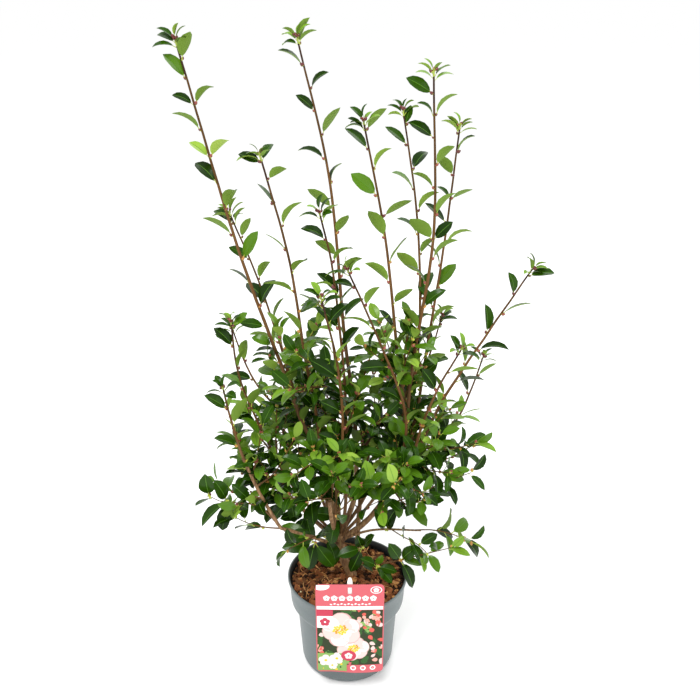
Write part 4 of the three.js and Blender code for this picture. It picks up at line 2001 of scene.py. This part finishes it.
    def plan_insets(self, rng: np.random.Generator) -> None:
        """Plans the corner square with a blossom, the lower picture of small flowers and the pink oval.

        Args:
            rng: The random draws.
        """
        left, _, _, top = self.picture
        self.add(box_outline(left, left + 24, top - 11, top), INK_DEEP_PINK, 13)
        self.add(box_outline(left, left + 24, top - 33, top - 11), INK_WHITE, 13)
        self.floret(left + 12, top - 22, 8.5, INK_DEEP_PINK, INK_WHITE, 14)
        self.add(box_outline(left, -5, 3.5, 38), INK_LEAF_PALE, 13)
        for _ in range(16):
            x, z = rng.uniform(left + 2, -8), rng.uniform(5, 36)
            finish = (INK_LEAF, INK_SHADE, INK_STAMEN)[int(rng.integers(3))]
            spot = oval(x, z, rng.uniform(1.2, 3.0), rng.uniform(1.2, 2.6), rng.uniform(0, 180), 10)
            self.add(spot, finish, 14)
        for x, z, size in ((-37, 24, 12), (-20, 28, 12), (-27, 14, 9)):
            self.floret(x, z, size, INK_PETAL_PALE, INK_STAMEN, 15)
        self.add(oval(-2, 34, 11.5, 9.8), INK_DEEP_PINK, 16)
        self.floret(-2, 34, 6.5, INK_PETAL_PALE, INK_DEEP_PINK, 17)

    def pin(self) -> bpy.types.Object:
        """Makes the flat white pin that leans out over the rim and stands up behind the card.

        Returns:
            The piece.
        """
        behind = 1.6 - self.out
        top = self.foot + self.height + self.pin_above_top
        route = [
            (behind + 10, 154, 1.0), (behind + 6, 174, 1.0), (behind, 196, 1.0), (behind, top - 10.6, 1.0),
            (behind, top - 6, 0.86), (behind, top - 2, 0.62), (behind, top, 0.34),
        ]
        thick = self.pin_thickness / 2
        bm = bmesh.new()
        ring: list[bmesh.types.BMEdge] = []
        for y, z, share in route:
            wide = self.pin_half * share
            corners = [(-wide, thick), (wide, thick), (wide, -thick), (-wide, -thick)]
            verts = [bm.verts.new(Vector((x + self.centre, y + d, z)) * MM) for x, d in corners]
            loop = [bm.edges.new((a, b)) for a, b in zip(verts, verts[1:] + verts[:1])]
            if ring:
                bmesh.ops.bridge_loops(bm, edges=ring + loop)
            else:
                bmesh.ops.contextual_create(bm, geom=loop)
            ring = loop
        bmesh.ops.contextual_create(bm, geom=ring)
        bmesh.ops.recalc_face_normals(bm, faces=bm.faces)
        bmesh.ops.bevel(
            bm, geom=bm.edges[:], offset=0.2 * MM, affect="EDGES", segments=2, profile=0.5, material=-1
        )
        return piece_of(bm, "pin_strip", [PIN_WHITE], 40)


# ------------------------------------------------------------------- stage


@dataclass(frozen=True)
class Lamp:
    """One soft light: its name, its place in metres, its side and its power."""

    name: str
    place: tuple[float, float, float]
    size: float
    watts: float


@dataclass
class Studio:
    """The floor, the soft lights and the camera."""

    lamps: tuple[Lamp, ...] = (
        Lamp("key", (-0.45, -1.5, 2.7), 1.0, 58),
        Lamp("fill", (2.0, -1.2, 1.5), 2.2, 14),
        Lamp("rim", (0.6, 2.0, 2.2), 1.8, 14),
    )
    aim: tuple[float, float, float] = (0.0, 0.0, 0.45)
    lens: float = 43.7
    sensor: float = 36.0
    distance: float = 1.102
    height: float = 1.034
    pitch: float = 23.7
    offset: float = 0.0042

    def build(self) -> None:
        """Sets the stage."""
        self.floor()
        for lamp in self.lamps:
            self.hang(lamp)
        self.sky()
        self.camera()

    def floor(self) -> None:
        """Lays the pale floor."""
        bm = bmesh.new()
        bmesh.ops.create_grid(bm, x_segments=2, y_segments=2, size=80.0)
        floor = piece_of(bm, "studio_floor", [Finish("studio_paper", 0xFFFFFF, 0.9, 0.0, 0.0)])

    def hang(self, lamp: Lamp) -> None:
        """Hangs one soft light, turned to the plant.

        Args:
            lamp: The light.
        """
        data = bpy.data.lights.new(lamp.name, "AREA")
        data.shape = "SQUARE"
        data.size = lamp.size
        data.energy = lamp.watts
        hung = bpy.data.objects.new(lamp.name, data)
        hung.location = lamp.place
        hung.rotation_euler = (Vector(self.aim) - Vector(lamp.place)).to_track_quat("-Z", "Y").to_euler()
        bpy.context.scene.collection.objects.link(hung)

    def sky(self) -> None:
        """Sets the even white surround."""
        world = bpy.data.worlds.new("surround")
        world.use_nodes = True
        background = world.node_tree.nodes["Background"]
        background.inputs["Color"].default_value = (1.0, 1.0, 1.0, 1.0)
        background.inputs["Strength"].default_value = 1.0
        bpy.context.scene.world = world
        bpy.context.scene.view_settings.view_transform = "Standard"

    def camera(self) -> None:
        """Sets the camera in front of the plant, looking down a little."""
        data = bpy.data.cameras.new("camera")
        data.sensor_width = self.sensor
        data.lens = self.lens
        camera = bpy.data.objects.new("camera", data)
        camera.location = (self.offset, -self.distance, self.height)
        camera.rotation_euler = (math.radians(90 - self.pitch), 0, 0)
        bpy.context.scene.collection.objects.link(camera)
        bpy.context.scene.camera = camera


def main() -> None:
    """Builds the plant, its pot and its label, and sets the stage."""
    logging.basicConfig(level=logging.INFO, format="%(name)s: %(message)s")
    shrub = Shrub()
    shrub.grow()
    log.info("%d leaves", sum(len(leaves) for leaves in shrub.leaves.values()))
    Limbs(shrub).build()
    Foliage(shrub).build()
    NurseryPot().build()
    BarkMulch().build()
    PictureLabel().build()
    Studio().build()


if __name__ == "__main__":
    main()
